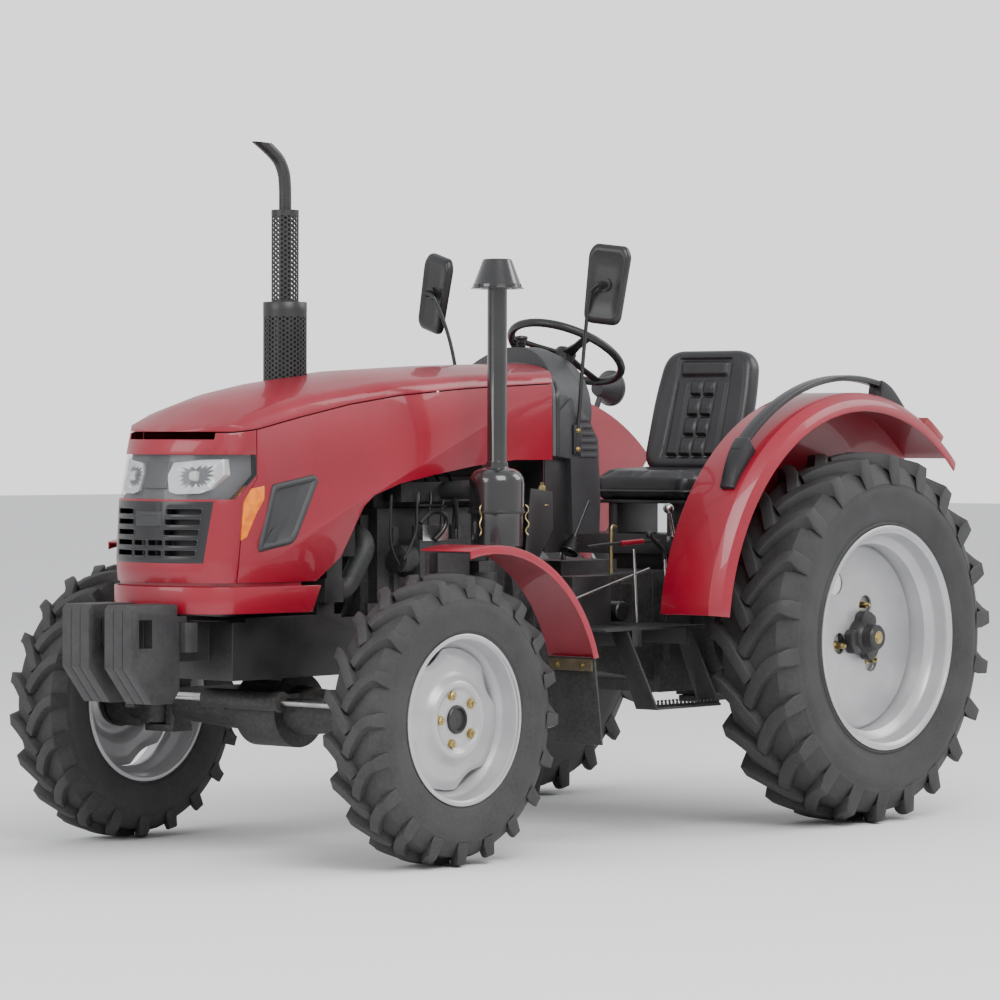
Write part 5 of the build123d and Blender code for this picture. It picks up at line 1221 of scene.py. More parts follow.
# ------------------------------------------------------------------ nose and lamps
@dataclass(frozen=True)
class NoseForm:
    """The bonnet's outer form, as heights and half widths in millimetres."""

    tip: float = 2585
    corner: float = 2524
    corner_y: float = 190
    side: float = 2450
    side_y: float = 246
    flank: float = 2200
    flank_y: float = 292
    bulge: tuple[Pair, ...] = ((740, 18), (930, 36), (1120, 24), (1250, -6), (1600, -96))
    base_z: float = 758
    base_y: float = 285
    bend: float = 2114
    rear: float = 1400

    def shift(self, z: float) -> float:
        """How far the nose bulges forward at a height."""
        for (z0, s0), (z1, s1) in zip(self.bulge, self.bulge[1:]):
            if z <= z1:
                return s0 + (s1 - s0) * (z - z0) / (z1 - z0)
        return self.bulge[-1][1]

    def outline(self, z: float, inset: float, steps: int = 24) -> list[Pair]:
        """The nose's left half in plan at a height.

        Args:
            z: the height.
            inset: how far it stands behind the outer surface.
            steps: divisions of the front arc.

        Returns:
            (x, y) points from the middle round to the flank.
        """
        shift = self.shift(z) - inset
        sag, chord = self.tip - self.corner, self.corner_y
        radius = (chord ** 2 + sag ** 2) / (2 * sag)
        points = []
        for y in (chord * step / steps for step in range(steps + 1)):
            points.append((self.tip - radius + math.sqrt(radius ** 2 - y ** 2) + shift, y))
        y_side = self.side_y - inset
        for share in (0.2, 0.4, 0.6, 0.8, 1.0):
            swell = 14 * share * (1 - share)
            x = self.corner + (self.side - self.corner) * share + shift + swell
            points.append((x, chord + (y_side - chord) * share + swell))
        for share in (0.25, 0.5, 0.75, 1.0):
            x = self.side + (self.flank - self.side) * share + shift
            points.append((x, y_side + (self.flank_y - self.side_y) * share))
        return points

    def x_at(self, y: float, z: float, inset: float = 0.0) -> float:
        """Where the nose's front surface stands.

        Args:
            y: distance from the middle.
            z: height.
            inset: how far behind the outer surface.

        Returns:
            The distance ahead of the rear axle.
        """
        points = self.outline(z, inset)
        for (x0, y0), (x1, y1) in zip(points, points[1:]):
            if abs(y) <= y1:
                return x0 + (x1 - x0) * (abs(y) - y0) / max(y1 - y0, 1e-6)
        return points[-1][0]

    def y_at(self, x: float, z: float) -> float:
        """The half width of the side.

        Args:
            x: place along the bonnet.
            z: height.

        Returns:
            The distance from the middle.
        """
        run = (x - self.rear) / (self.bend - self.rear)
        seam_z, seam_y = 1463 - 75 * run, 256 - 6 * run
        if x >= self.bend:
            seam_z, seam_y = 1388 - (x - self.bend) * 0.218, 250 - (x - self.bend) * 0.014
        wall = self.base_y + (seam_y - self.base_y) * (z - self.base_z) / (seam_z - self.base_z)
        flank = self.flank_y - (x - self.shift(z) - self.flank) * (self.flank_y - self.side_y) / 250
        return min(wall, flank)

    def strip(self, name: str, heights: Sequence[float], inset: float, reach: int,
              held: bool = False) -> Piece:
        """A curved strip across the nose.

        Args:
            name: the strip's name.
            heights: its lines' heights.
            inset: how far it stands behind the outer surface, in millimetres.
            reach: how many of the outline's points it covers.
            held: whether it also keeps inside the sides.

        Returns:
            The strip.
        """
        lines = []
        for z in heights:
            half = [(x, min(y, self.y_at(x, z) - inset) if held else y) for x, y in self.outline(z, inset)]
            lines.append(across([at(x, y, z) for x, y in half[:reach]]))
        return sheet(name, lines)


NOSE = NoseForm()


@dataclass
class Headlamps:
    """The lamp band: smoky lens, reflectors, middle block and back plate."""

    low: float = 1117
    high: float = 1251
    seam: float = 2400
    elbow: float = 1190
    slope: Point = (74, 0, 81)
    reflector: tuple[Pair, ...] = ((52, 1190), (66, 1226), (150, 1236), (206, 1238), (212, 1190), (188, 1146),
                                   (160, 1134), (92, 1132), (66, 1140))
    focus: Pair = (130, 1186)
    rings: int = 9

    def band(self, name: str, inset: float, rows: int, spare: float) -> Piece:
        """A strip that ends at the nose's seam and along the slanting lower corner.

        Args:
            name: the strip's name.
            inset: how far it stands behind the outer surface.
            rows: divisions of its height.
            spare: how far its ends reach past the lens's.

        Returns:
            The strip.
        """
        low, high = self.low - 1.5 * spare, self.high + 1.5 * spare
        piece = NOSE.strip(name, [low + (high - low) * row / rows for row in range(rows + 1)], inset, 32)
        for way in (AHEAD, self.slope):
            trim(piece, at(self.seam - spare, 0, self.elbow), way)
        return tidy(piece)

    def bowl(self, side: Side) -> Piece:
        """One reflector: a faceted bowl behind its outline.

        Args:
            side: the lamp's side.

        Returns:
            The reflector.
        """
        outline = [(y0 + (y1 - y0) * s / 4, z0 + (z1 - z0) * s / 4) for (y0, z0), (y1, z1) in
                   zip(self.reflector, self.reflector[1:] + self.reflector[:1]) for s in range(4)]
        rows = [[at(NOSE.x_at(y, z, 22), side.value * y, z) for y, z in outline]]
        for share in (ring / self.rings for ring in range(self.rings + 1)):
            depth, size = 9 + 24 * share ** 0.6, 1 - share * 0.96
            row = []
            for index, spot in enumerate(outline):
                y, z = (middle_line + (own - middle_line) * size for middle_line, own in zip(self.focus, spot))
                flute = 2.6 * math.cos(index * math.pi) * (1 - abs(2 * share - 1))
                row.append(at(NOSE.x_at(y, z, depth + flute), side.value * y, z))
            rows.append(row)
        return tidy(sheet(f"reflector_{side.word}", rows, loop=True), 1e-6)

    def build(self) -> None:
        """Makes the lamp band's pieces and dresses them."""
        lens = solidify(self.band("headlamp_lens", 0.5, 6, 0.0), 0.0028)
        place(lens, SMOKY_LENS, replaces=["headlamps"], angle=60)
        place(solidify(self.band("headlamp_back", 24, 4, 2.0), 0.004), LAMP_GREY, angle=60)
        block = tidy(NOSE.strip("headlamp_middle", (1150, 1191, 1232), 13, 7))
        place(solidify(block, 0.010), LAMP_BLOCK, angle=60)
        bulb = [(-0.012, 0.001), (-0.012, 0.015), (0.0, 0.017), (0.012, 0.015), (0.014, 0.001)]
        y, z = self.focus
        for side in Side:
            place(self.bowl(side), CHROME, angle=20)
            spot = at(NOSE.x_at(y, z, 26), side.value * y, z)
            place(lathe(f"bulb_{side.word}", bulb, spot, "Y", 24), CHROME)


@dataclass
class SideVent:
    """The black panel with a rounded border behind the amber lamp."""

    outline: tuple[Pair, ...] = ((2336, 1160), (2156, 1190), (2134, 1176), (2240, 1000), (2266, 978), (2398, 956),
                                 (2402, 976))
    rounds: tuple[Pair, ...] = ((-1.5, -7.0), (0.0, 3.0), (3.0, 6.0), (8.0, 8.0), (15.0, 6.0), (20.0, 1.5),
                                (22.0, 0.5), (60.0, 0.5))
    corner: float = 14.0

    def build(self) -> None:
        """Makes both panels and dresses them."""
        x, z = (sum(values) / len(self.outline) for values in zip(*self.outline))
        for side in Side:
            rows = [[at(u, side.value * (NOSE.y_at(u, v) + proud), v)
                     for u, v in rounded_outline(self.outline, self.corner, inset)] for inset, proud in self.rounds]
            rows.append([at(x, side.value * (NOSE.y_at(x, z) + self.rounds[-1][1]), z) for _ in rows[0]])
            piece = turn_outwards(tidy(sheet(f"side_vent_{side.word}", rows, loop=True)), side.out)
            place(piece, COWL_PLASTIC, replaces=side.stands_for("side_vents"), angle=50)


# ------------------------------------------------------------------ seat
@dataclass(frozen=True)
class Mould:
    """A soft-edged rectangle raised or sunk in a pad, in metres across and up."""

    rise: float
    u: float
    v: float
    wide: float
    tall: float
    soft: float

    def inside(self, offset: float, size: float) -> float:
        """1 within a size, falling smoothly to 0 outside it."""
        share = min(max((abs(offset) - size / 2 + self.soft) / (2 * self.soft), 0.0), 1.0)
        return 1 - share * share * (3 - 2 * share)

    def height(self, u: float, v: float) -> float:
        """How far it lifts the pad at a place across and up."""
        return self.rise * self.inside(u - self.u, self.wide) * self.inside(v - self.v, self.tall)


@dataclass
class Seat:
    """The moulded seat: pocketed back and a scooped cushion."""

    half: float = 0.231
    back_half: float = 0.213
    foot: Point = (-86, 0, 1183)
    recline: float = 16.0
    heel: float = 0.032
    length: float = 0.452
    thickness: float = 0.090
    corner: float = 0.075
    column: float = 0.057
    pockets: tuple[float, ...] = (0.245, 0.171, 0.097)
    puffs: tuple[float, ...] = (0.278, 0.204, 0.130, 0.056)
    rings: int = 64
    rear_face: tuple[Pair, ...] = ((0.995, -0.3), (0.98, -0.6), (0.95, -0.8), (0.90, -0.92), (0.6, -0.95),
                                   (0.0, -0.95))
    rear: float = -130
    front: float = 240
    low: float = 1090
    high: float = 1200
    shell: tuple[Pair, ...] = (
        (0.0, 0.0), (0.5, 0.0), (0.93, 0.02), (0.98, 0.10), (1.0, 0.30), (1.0, 0.55), (0.985, 0.74), (0.95, 0.86),
        (0.90, 0.92), (0.82, 0.95), (0.7, 0.93), (0.55, 0.90), (0.4, 0.88), (0.2, 0.87), (0.0, 0.87))
    voxel: float = 0.007
    pressure: float = 4.0
    frames: int = 20
    most_move: float = 0.012

    def __post_init__(self) -> None:
        """Lays out the back's bolster, flutes, pockets and puffs."""
        inner, outer = (tuple(c * self.column for c in row) for row in ((-0.5, 0.5), (-1.5, -0.5, 0.5, 1.5)))
        self.moulds = [Mould(0.011, 0, 0.343, 0.200, 0.046, 0.009), Mould(-0.005, 0, 0.376, 0.216, 0.006, 0.005)]
        self.moulds += [Mould(0.007, u, 0.162, 0.046, 0.276, 0.009) for u in outer]
        self.moulds += [Mould(-0.019, u, v, 0.040, 0.010, 0.0055) for u in inner for v in self.pockets]
        self.moulds += [Mould(0.0035, u, v, 0.040, 0.026, 0.010) for u in inner for v in self.puffs]
        self.moulds += [Mould(-0.016, u, 0.022, 0.040, 0.010, 0.0055) for u in outer]

    def relief(self, u: float, v: float) -> float:
        """The back's front relief in metres at a place across and up."""
        field = Mould(-0.006, 0, 0.196, 0.236 + 0.028 * (1 - v / self.length), 0.372, 0.004)
        return sum(mould.height(u, v - self.heel) for mould in [field] + self.moulds)

    def outline(self) -> list[Pair]:
        """The back's outline across and up, narrower and rounder at its top.

        Returns:
            Points a few millimetres apart.
        """
        h, l = self.back_half, self.length
        corners = [(-h, 0.0), (h, 0.0), (h, 0.62 * l), (h - 0.020, l - 0.002), (-h + 0.020, l - 0.002),
                   (-h, 0.62 * l)]
        points = rounded_outline(corners, self.corner, 0.0, 12)
        dense = []
        for first, second in zip(points, points[1:] + points[:1]):
            parts = max(1, round(math.dist(first, second) / 0.006))
            dense += [tuple(a + (b - a) * p / parts for a, b in zip(first, second)) for p in range(parts)]
        return dense

    def back(self) -> None:
        """Makes the seat's back and dresses it."""
        lean = math.radians(self.recline)
        up = Vector((-math.sin(lean), 0, math.cos(lean)))
        ahead = Vector((math.cos(lean), 0, math.sin(lean)))
        foot, outline = at(*self.foot), self.outline()
        centre, half = 0.5 * self.length, self.thickness / 2
        rim, fullness = 0.84, 2.6
        rows = []
        for share in (1 - (1 - ring / self.rings) ** 1.05 for ring in range(self.rings + 1)):
            edge = max(0.0, (share - rim) / (1 - rim))
            depth = half * (1 - edge ** fullness) ** (1 / fullness) if edge < 1 else 0.0
            hollow = 0.010 * (1 - min(1, share / 0.8) ** 2) + 0.008
            spots = [(u * share, centre + (v - centre) * share) for u, v in outline]
            rows.append([foot + Vector((0, u, 0)) + up * v + ahead * (depth - hollow + self.relief(u, v))
                         for u, v in spots])
        for share, depth in self.rear_face:
            rows.append([foot + Vector((0, u * share, 0)) + up * (centre + (v - centre) * share)
                         + ahead * (half * depth) for u, v in outline])
        piece = tidy(sheet("seat_back_pad", rows, loop=True))
        place(piece, VINYL, replaces=["seat_back"], angle=180)

    def cushion(self) -> None:
        """Makes the cushion: a crowned shell, blown up by a cloth run, with a bead round its foot."""
        centre = (self.rear + self.front) / 2
        reach, wide = (self.front - self.rear) / 2 - 8, self.half / MM - 8
        outline = rounded_outline([(-reach, -wide), (reach, -wide), (reach, wide), (-reach, wide)], 70, 0.0, 10)
        rows = []
        for share, height in self.shell:
            row = []
            for x, y in ((x * share, y * share) for x, y in outline):
                ahead, behind = max(0.0, x / reach), max(0.0, -x / reach)
                dip = -0.13 * ahead ** 2 + 0.07 * max(0.0, 1 - abs(y) / 60) * ahead + 0.05 * behind
                lift = height + (dip if height > 0.8 else 0.0)
                row.append(at(centre + x, y, self.low + 4 + lift * (self.high - self.low - 8)))
            rows.append(row)
        piece = tidy(sheet("seat_cushion_pad", rows, loop=True))
        self.inflate(piece)
        keep_inside(piece, "seat_cushion", 0.004)
        bead = ring_tube("seat_bead", [at(centre + x, y, self.low + 30) for x, y in outline], 0.006)
        keep_inside(bead, "seat_cushion", 0.009)
        place(piece, VINYL, replaces=["seat_cushion"], angle=180)
        place(bead, VINYL, angle=180)

    def inflate(self, piece: Piece) -> None:
        """Blows the pad up a little with a cloth run, its moves capped.

        Args:
            piece: the pad's shell.
        """
        modify(piece, "REMESH", mode="VOXEL", voxel_size=self.voxel)
        before = [v.co.copy() for v in piece.data.vertices]
        cloth = piece.modifiers.new("cloth", "CLOTH").settings
        cloth.use_pressure = True
        cloth.uniform_pressure_force = self.pressure
        cloth.effector_weights.gravity = 0
        cloth.quality = 4
        for number in range(1, self.frames + 1):
            bpy.context.scene.frame_set(number)
        graph = bpy.context.evaluated_depsgraph_get()
        after = [v.co.copy() for v in piece.evaluated_get(graph).to_mesh().vertices]
        piece.modifiers.clear()
        bpy.context.scene.frame_set(1)
        for vertex, old, new in zip(piece.data.vertices, before, after):
            move = new - old
            vertex.co = old + move * min(1.0, self.most_move / max(move.length, MM * MM))
        modify(piece, "SUBSURF", levels=1, render_levels=1)

    def build(self) -> None:
        """Makes the back and the cushion."""
        self.back()
        self.cushion()


# ------------------------------------------------------------------ wheel, mirrors
@dataclass
class SteeringWheel:
    """The steering wheel: round grip, three flat spokes and the hub's cap."""

    hub: Point = (617, 0, 1598)
    diameter: float = 0.423
    grip: float = 0.027
    tilt: float = 29.5
    cap: tuple[Pair, ...] = ((-0.070, 0.014), (-0.047, 0.014), (-0.047, 0.030), (-0.020, 0.036), (0.000, 0.037),
                             (0.006, 0.033), (0.010, 0.025), (0.012, 0.001))

    def build(self) -> None:
        """Makes the wheel and dresses it."""
        lean = math.radians(self.tilt)
        tilt = Matrix(((math.cos(lean), 0, -math.sin(lean)), (0, 1, 0), (math.sin(lean), 0, math.cos(lean))))
        reach, thick = (self.diameter - self.grip) / 2, self.grip / 2
        outline = [(thick * math.sin(a) * 1.08, reach + thick * math.cos(a))
                   for a in (FULL_TURN * i / 16 for i in range(17))]
        pieces = [lathe("grip", outline, Vector(), "Z"), lathe("hub", self.cap, Vector(), "Z", 48)]
        side = [(0.02, -0.022, -0.018), (0.10, -0.014, -0.012), (reach - 0.004, -0.016, -0.006)]
        spoke = side + [(x, -y, z) for x, y, z in reversed(side)]
        for index in range(3):
            arm = plate(f"spoke_{index}", spoke, UP * 0.012, 0.004)
            arm.data.transform(Matrix.Rotation(math.radians(120 * index + 180), 4, "Z"))
            pieces.append(arm)
        wheel = join("steering_wheel_moulding", pieces)
        wheel.data.transform(Matrix.Translation(at(*self.hub)) @ tilt.to_4x4())
        place(wheel, GRIP_PLASTIC, "steering_wheel", ["steering_wheel"], 40)


@dataclass
class Mirrors:
    """The two mirrors: rounded shells, glass, ball clamps and bent arms."""

    spot: Point = (872, 395, 1813)
    wide: float = 0.150
    tall: float = 0.265
    lean: Pair = (0.12, -0.26)
    drop: Pair = (0, 14)
    splay: float = 0.25
    pane: float = 0.955
    shell: tuple[Pair, ...] = (
        (0.0, 0.0035), (0.4, 0.0035), (0.76, 0.003), (0.80, 0.0005), (0.845, 0.0), (0.93, 0.002), (0.98, 0.008),
        (1.0, 0.016), (1.0, 0.025), (0.975, 0.026), (0.955, 0.024), (0.95, 0.021))
    arm: tuple[Point, ...] = ((870, 257, 1260), (870, 259, 1330), (868, 266, 1390), (868, 276, 1520),
                              (880, 300, 1650), (902, 330, 1750), (910, 350, 1800))

    def outline(self) -> list[Pair]:
        """The head's outline across and up, narrower at its foot."""
        w, t = self.wide / 2, self.tall / 2
        corners = [(-w + 0.006, -t), (w - 0.014, -t), (w, t - 0.03), (w - 0.018, t), (-w + 0.018, t),
                   (-w, t - 0.03)]
        return rounded_outline(corners, 0.034, 0.0, 8)

    def mirror(self, side: Side, lean: float, drop: float) -> None:
        """Makes one mirror and dresses it.

        Args:
            side: the tractor's side.
            lean: how far the head leans outwards, in radians.
            drop: how far it hangs under its place, in millimetres.
        """
        flip, word = side.value, side.word
        x, y, z = self.spot
        centre = at(x + 8, flip * (y - 12), z - drop)
        level = Vector((-self.splay, flip, 0)).normalized()
        back = Vector((-1, -self.splay * flip, 0)).normalized()
        up = UP * math.cos(lean) + level * math.sin(lean)
        right = level * math.cos(lean) - UP * math.sin(lean)
        rows = [[centre + right * (u * share) + up * (v * share) + back * depth for u, v in self.outline()]
                for share, depth in self.shell]
        head = turn_outwards(tidy(sheet(f"mirror_shell_{word}", rows, loop=True), 1e-6), -back)
        pane = [centre + right * (u * self.pane) + up * (v * self.pane) + back * 0.0225 for u, v in self.outline()]
        place(turn_outwards(new_object(f"mirror_glass_{word}", pane, [tuple(range(len(pane)))]), back),
              MIRROR_GLASS)
        neck = centre - back * 0.034
        ball = tube(f"mirror_ball_{word}", [centre - back * 0.006, centre - back * 0.030, neck - right * 0.006],
                    0.011, 2, 1, 5)
        disc = lathe(f"mirror_disc_{word}", [(-0.004, 0.001), (-0.004, 0.020), (0.004, 0.022), (0.004, 0.001)],
                     Vector(), "Z", 24)
        disc.data.transform(Matrix.Translation(centre - back * MM)
                            @ UP.rotation_difference(-back).to_matrix().to_4x4())
        arm = tube(f"mirror_arm_{word}", [at(x, flip * y, z) for x, y, z in self.arm] + [neck], 0.0065, 3, 8, 4)
        foot = box(f"mirror_foot_{word}", at(850, flip * 252, 1250), at(890, flip * 262, 1350), 0.003)
        place(join(f"mirror_{word}", [head, ball, disc, arm, foot]), GRIP_PLASTIC,
              replaces=side.stands_for("mirrors"), angle=40)
        bolt = hex_bolt(f"mirror_bolts_{word}", at(870, flip * 261.5, 1268), 0.016, 0.007, side.out, 0.010)
        place(repeat(bolt, 2, step=(0, 0, 0.062)), BRASS)

    def build(self) -> None:
        """Makes both mirrors."""
        for side, lean, drop in zip(Side, self.lean, self.drop):
            self.mirror(side, lean, drop)


# ------------------------------------------------------------------ trim
@dataclass
class Grille:
    """Raised frames round the grille's slots, its blank plate and the dark back behind it."""

    top: float = 1110
    foot: float = 922
    bar: float = 15
    bead: float = 0.0032
    rows: tuple = (((4, 58.14), (68.4, 164.16)), ((4, 58.14), (68.4, 164.16)), ((62, 164.16),), ((66, 164.16),),
                   ((70, 164.16),))
    block: tuple[Pair, ...] = ((-52, 1034), (52, 1034), (52, 1078), (-52, 1078))
    block_rounds: tuple[Pair, ...] = ((-3, -3), (0, 3), (3, 5), (9, 5), (11, 3), (20, 3))

    def frames(self) -> None:
        """Makes the beads round the slots and dresses them."""
        pitch = (self.top - self.foot - 2 * self.bar) / len(self.rows)
        rings = []
        for row, slots in enumerate(self.rows):
            low = self.foot + self.bar + row * pitch + 6
            high = low + pitch - 14
            for side, (start, end) in ((side, slot) for slot in slots for side in Side):
                inner, outer = side.value * start, side.value * (end + 3 * row)
                corners = [(inner, low), (outer, low), (outer, high), (inner, high)]
                line = [at(NOSE.x_at(y, z, 1.0), y, z) for y, z in rounded_outline(corners, 6.0, -1.5, 4)]
                rings.append(ring_tube(f"slot_{row}", line, self.bead, 8, AHEAD))
        place(join("grille_frames", rings), GLOSS_PLASTIC, angle=60)

    def build(self) -> None:
        """Makes the frames, the plate, the back and the apron under the nose."""
        self.frames()
        rows = [[at(NOSE.x_at(y, z) + proud, y, z) for y, z in rounded_outline(self.block, 8, inset)]
                for inset, proud in self.block_rounds]
        rows.append([at(NOSE.x_at(0, 1056) + 3, 0, 1056)] * len(rows[0]))
        place(turn_outwards(tidy(sheet("grille_blank_plate", rows, loop=True)), AHEAD), COWL_PLASTIC, angle=40)
        for name, heights, inset, reach, finish in (("grille_back", (905, 1008.5, 1112), 40, 25, BLACK_PAINT),
                                                    ("nose_apron", (838, 851, 864), 6, 34, RED_PAINT)):
            strip = tidy(NOSE.strip(name, heights, inset, reach, held=True))
            place(solidify(strip, 0.003), finish, angle=60)


@dataclass
class CowlTrim:
    """The rubber seals along the bonnet's rear edge and the knob on the cowl."""

    crown: float = 1556
    seam: float = 1463
    half: float = 256
    rear: float = 903
    side_x: float = 1040
    side_y: float = 297
    foot: float = 1246
    knob: tuple[Pair, ...] = ((0, 0.020), (0.006, 0.020), (0.010, 0.014), (0.014, 0.017), (0.018, 0.012),
                              (0.022, 0.015), (0.026, 0.010), (0.032, 0.011), (0.034, 0.021), (0.040, 0.0235),
                              (0.046, 0.021), (0.049, 0.001))

    def edge(self, behind: float, below: float) -> Row:
        """The line of the bonnet's rear edge.

        Args:
            behind: how far the line stands behind the edge.
            below: how far it stands under the bonnet's surface.

        Returns:
            The line from the left foot over the crown to the right.
        """
        plan = (self.side_y ** 2 + (self.side_x - self.rear) ** 2) / (2 * (self.side_x - self.rear))
        rise = self.crown - self.seam
        roof = (self.half ** 2 + rise ** 2) / (2 * rise)
        heights = [self.foot + (self.seam - 14 - self.foot) * step / 8 for step in range(9)]
        half_line = [(NOSE.y_at(NOSE.rear, z) - below + 2, z) for z in heights]
        for y in ((self.half - below) * (1 - step / 14) for step in range(1, 15)):
            half_line.append((y, self.crown - below - roof + math.sqrt(roof ** 2 - y ** 2)))
        both = half_line + [(-y, z) for y, z in reversed(half_line[:-1])]
        return [at(self.rear + plan - math.sqrt(plan ** 2 - y ** 2) - behind, y, z) for y, z in both]

    def build(self) -> None:
        """Makes the seals and the knob."""
        place(tube("bonnet_seal", self.edge(7, 4), 0.008, steps=3), SEAL_RUBBER)
        place(tube("cowl_bead", self.edge(26, 9), 0.010, steps=3), GRIP_PLASTIC)
        place(lathe("cowl_knob", self.knob, at(855, 0, 1602), "Z", 32), GRIP_PLASTIC)


@dataclass
class Linkwork:
    """Rods, levers and small parts between the gearbox and the left platform."""

    range_y: float = 430
    hand_y: float = 360
    boot: Point = (906, 250, 925)
    boot_lean: float = -32
    boot_folds: int = 5
    tooth_rows: Pair = (600, 680)
    teeth: int = 17
    filter: tuple[Pair, ...] = ((0, 0.001), (0, 0.030), (0.004, 0.034), (0.058, 0.034), (0.062, 0.030),
                                (0.062, 0.001))

    def level(self, y: float, *spots: Pair) -> list[Point]:
        """A run of (x, z) places at one distance from the middle."""
        return [(x, y, z) for x, z in spots]

    def shift_boot(self) -> Piece:
        """Makes the shift lever with its folded boot.

        Returns:
            The lever.
        """
        folds = [(0, 0.034), (0.004, 0.034)]
        for fold in range(self.boot_folds):
            radius, foot = 0.031 - 0.0038 * fold, 0.012 * fold
            folds += [(0.006 + foot, radius), (0.011 + foot, radius - 0.007)]
        folds += [(0.068, 0.010), (0.070, 0.006), (0.20, 0.006), (0.20, 0.001)]
        lever = lathe("shift_boot", folds, Vector(), "Z", 32)
        lever.data.transform(Matrix.Translation(at(*self.boot))
                             @ Matrix.Rotation(math.radians(self.boot_lean), 4, "Y"))
        return lever

    def ball(self) -> Piece:
        """Makes the range lever's ball."""
        ball = link("range_lever_ball", bpy.data.meshes.new("range_lever_ball"))
        spot = Matrix.Translation(at(700, self.range_y, 986))
        return edit(ball, lambda mesh: bmesh.ops.create_uvsphere(
            mesh, u_segments=20, v_segments=12, radius=0.013, matrix=spot))

    def step_teeth(self) -> None:
        """Makes the teeth along both edges of both steps and dresses them."""
        teeth = []
        for edge in self.tooth_rows:
            for side in Side:
                tooth = box(f"tooth_{edge}", at(640, side.value * (edge - 3), 438),
                            at(650, side.value * (edge + 3), 446))
                teeth.append(repeat(tooth, self.teeth, step=(0.020, 0, 0)))
        place(join("step_teeth", teeth), BLACK_PAINT)

    def build(self) -> None:
        """Makes the rods and levers and dresses them."""
        range_y, hand_y = self.range_y, self.hand_y
        place(join("control_rods", [
            rod("brake_rod", [(1056, 380, 770), (637, 380, 867)], 0.005, 2),
            rod("lift_rod_control", [(745, 400, 936), (728, 400, 690)], 0.005, 2),
            rod("range_lever_foot", self.level(range_y, (618, 915), (608, 767)), 0.0055, 2)]), STEEL)
        breather = self.level(300, (716, 1006), (728, 1012), (740, 1008), (741, 985), (741, 850))
        place(rod("breather_pipe", breather, 0.0055), BRASS)
        range_lever = self.level(range_y, (698, 983), (675, 964), (640, 944), (620, 925), (618, 900))
        hand_lever = self.level(hand_y, (942, 945), (860, 952), (760, 954), (640, 960), (558, 957))
        place(join("levers_and_boot", [
            rod("range_lever", range_lever, 0.008),
            rod("range_lever_end", [(606, range_y, 770), (605, range_y, 705)], 0.010, 2),
            rod("hand_lever", hand_lever, 0.006), self.shift_boot(), self.ball()]), GRIP_PLASTIC)
        place(rod("hand_lever_grip", self.level(hand_y, (766, 954), (648, 959)), 0.0095, 2), RED_PAINT)
        place(lathe("oil_filter", self.filter, at(754, 300, 727), "Y", 40), GRIP_PLASTIC)
        self.step_teeth()


@dataclass
class EngineTrim:
    """Pipes, hoses and plates of the engine bay, and the firewall behind it."""

    runs: tuple[tuple[Point, ...], ...] = (
        ((1675, 262, 1128), (1676, 264, 1060), (1678, 262, 991), (1730, 255, 918)),
        ((1670, 272, 1033), (1640, 276, 1060), (1607, 276, 1070), (1551, 275, 1061), (1548, 275, 1015),
         (1601, 272, 978)),
        ((1668, 262, 1089), (1600, 264, 1090), (1536, 262, 1085)),
        ((1494, 262, 1124), (1488, 264, 1100), (1481, 262, 1013)),
        ((1772, 240, 1124), (1780, 242, 1040), (1778, 240, 950), (1728, 236, 900)))
    injectors: int = 4
    half: float = 226
    wall_x: float = 1004
    wall: Pair = (905, 1400)
    bracket: tuple[Pair, ...] = ((1120, 1140), (1008, 1128), (1003, 1006), (1092, 887), (1152, 888))

    def pipes(self) -> None:
        """Makes the pipes and dresses them."""
        pipes = [rod(f"engine_pipe_{index}", run, 0.0045 + 0.003 * (index % 2))
                 for index, run in enumerate(self.runs)]
        for index in range(self.injectors):
            x = 1450 + 60 * index
            run = [(x, 217, 1020), (x, 219, 1070), (x - 20, 216, 1120), (x - 30, 170, 1190), (x - 30, 130, 1206)]
            pipes.append(rod(f"injector_pipe_{index}", run, 0.004))
        place(join("engine_pipes", pipes), GRIP_PLASTIC)

    def build(self) -> None:
        """Makes the pieces and dresses them."""
        self.pipes()
        place(box("bare_plate", at(1649, 262, 976), at(1529, 264, 1028), 0.001), STEEL)
        half, (low, high) = self.half, self.wall
        outline = rounded_outline([(-half, low), (half, low), (half, high), (-half, high)], 60)
        pieces = [plate("firewall", [at(self.wall_x, y, z) for y, z in outline], AHEAD * 0.004, 0.001),
                  plate("cleaner_bracket", [at(x, 262, z) for x, z in self.bracket], Side.LEFT.out * 0.005, 0.001)]
        pieces += [box(f"bay_side_{side.word}", at(868, side.value * half, 925),
                       at(self.wall_x, side.value * (half + 4), 1244), 0.001) for side in Side]
        place(join("firewall_and_bracket", pieces), BLACK_PAINT)
        unions = [hex_bolt(f"union_{index}", at(1038, 246 + 10 * index, 1118 - 36 * index), 0.024, 0.030, UP, 0.015)
                  for index in range(2)]
        place(join("pipe_unions", unions), BRASS)


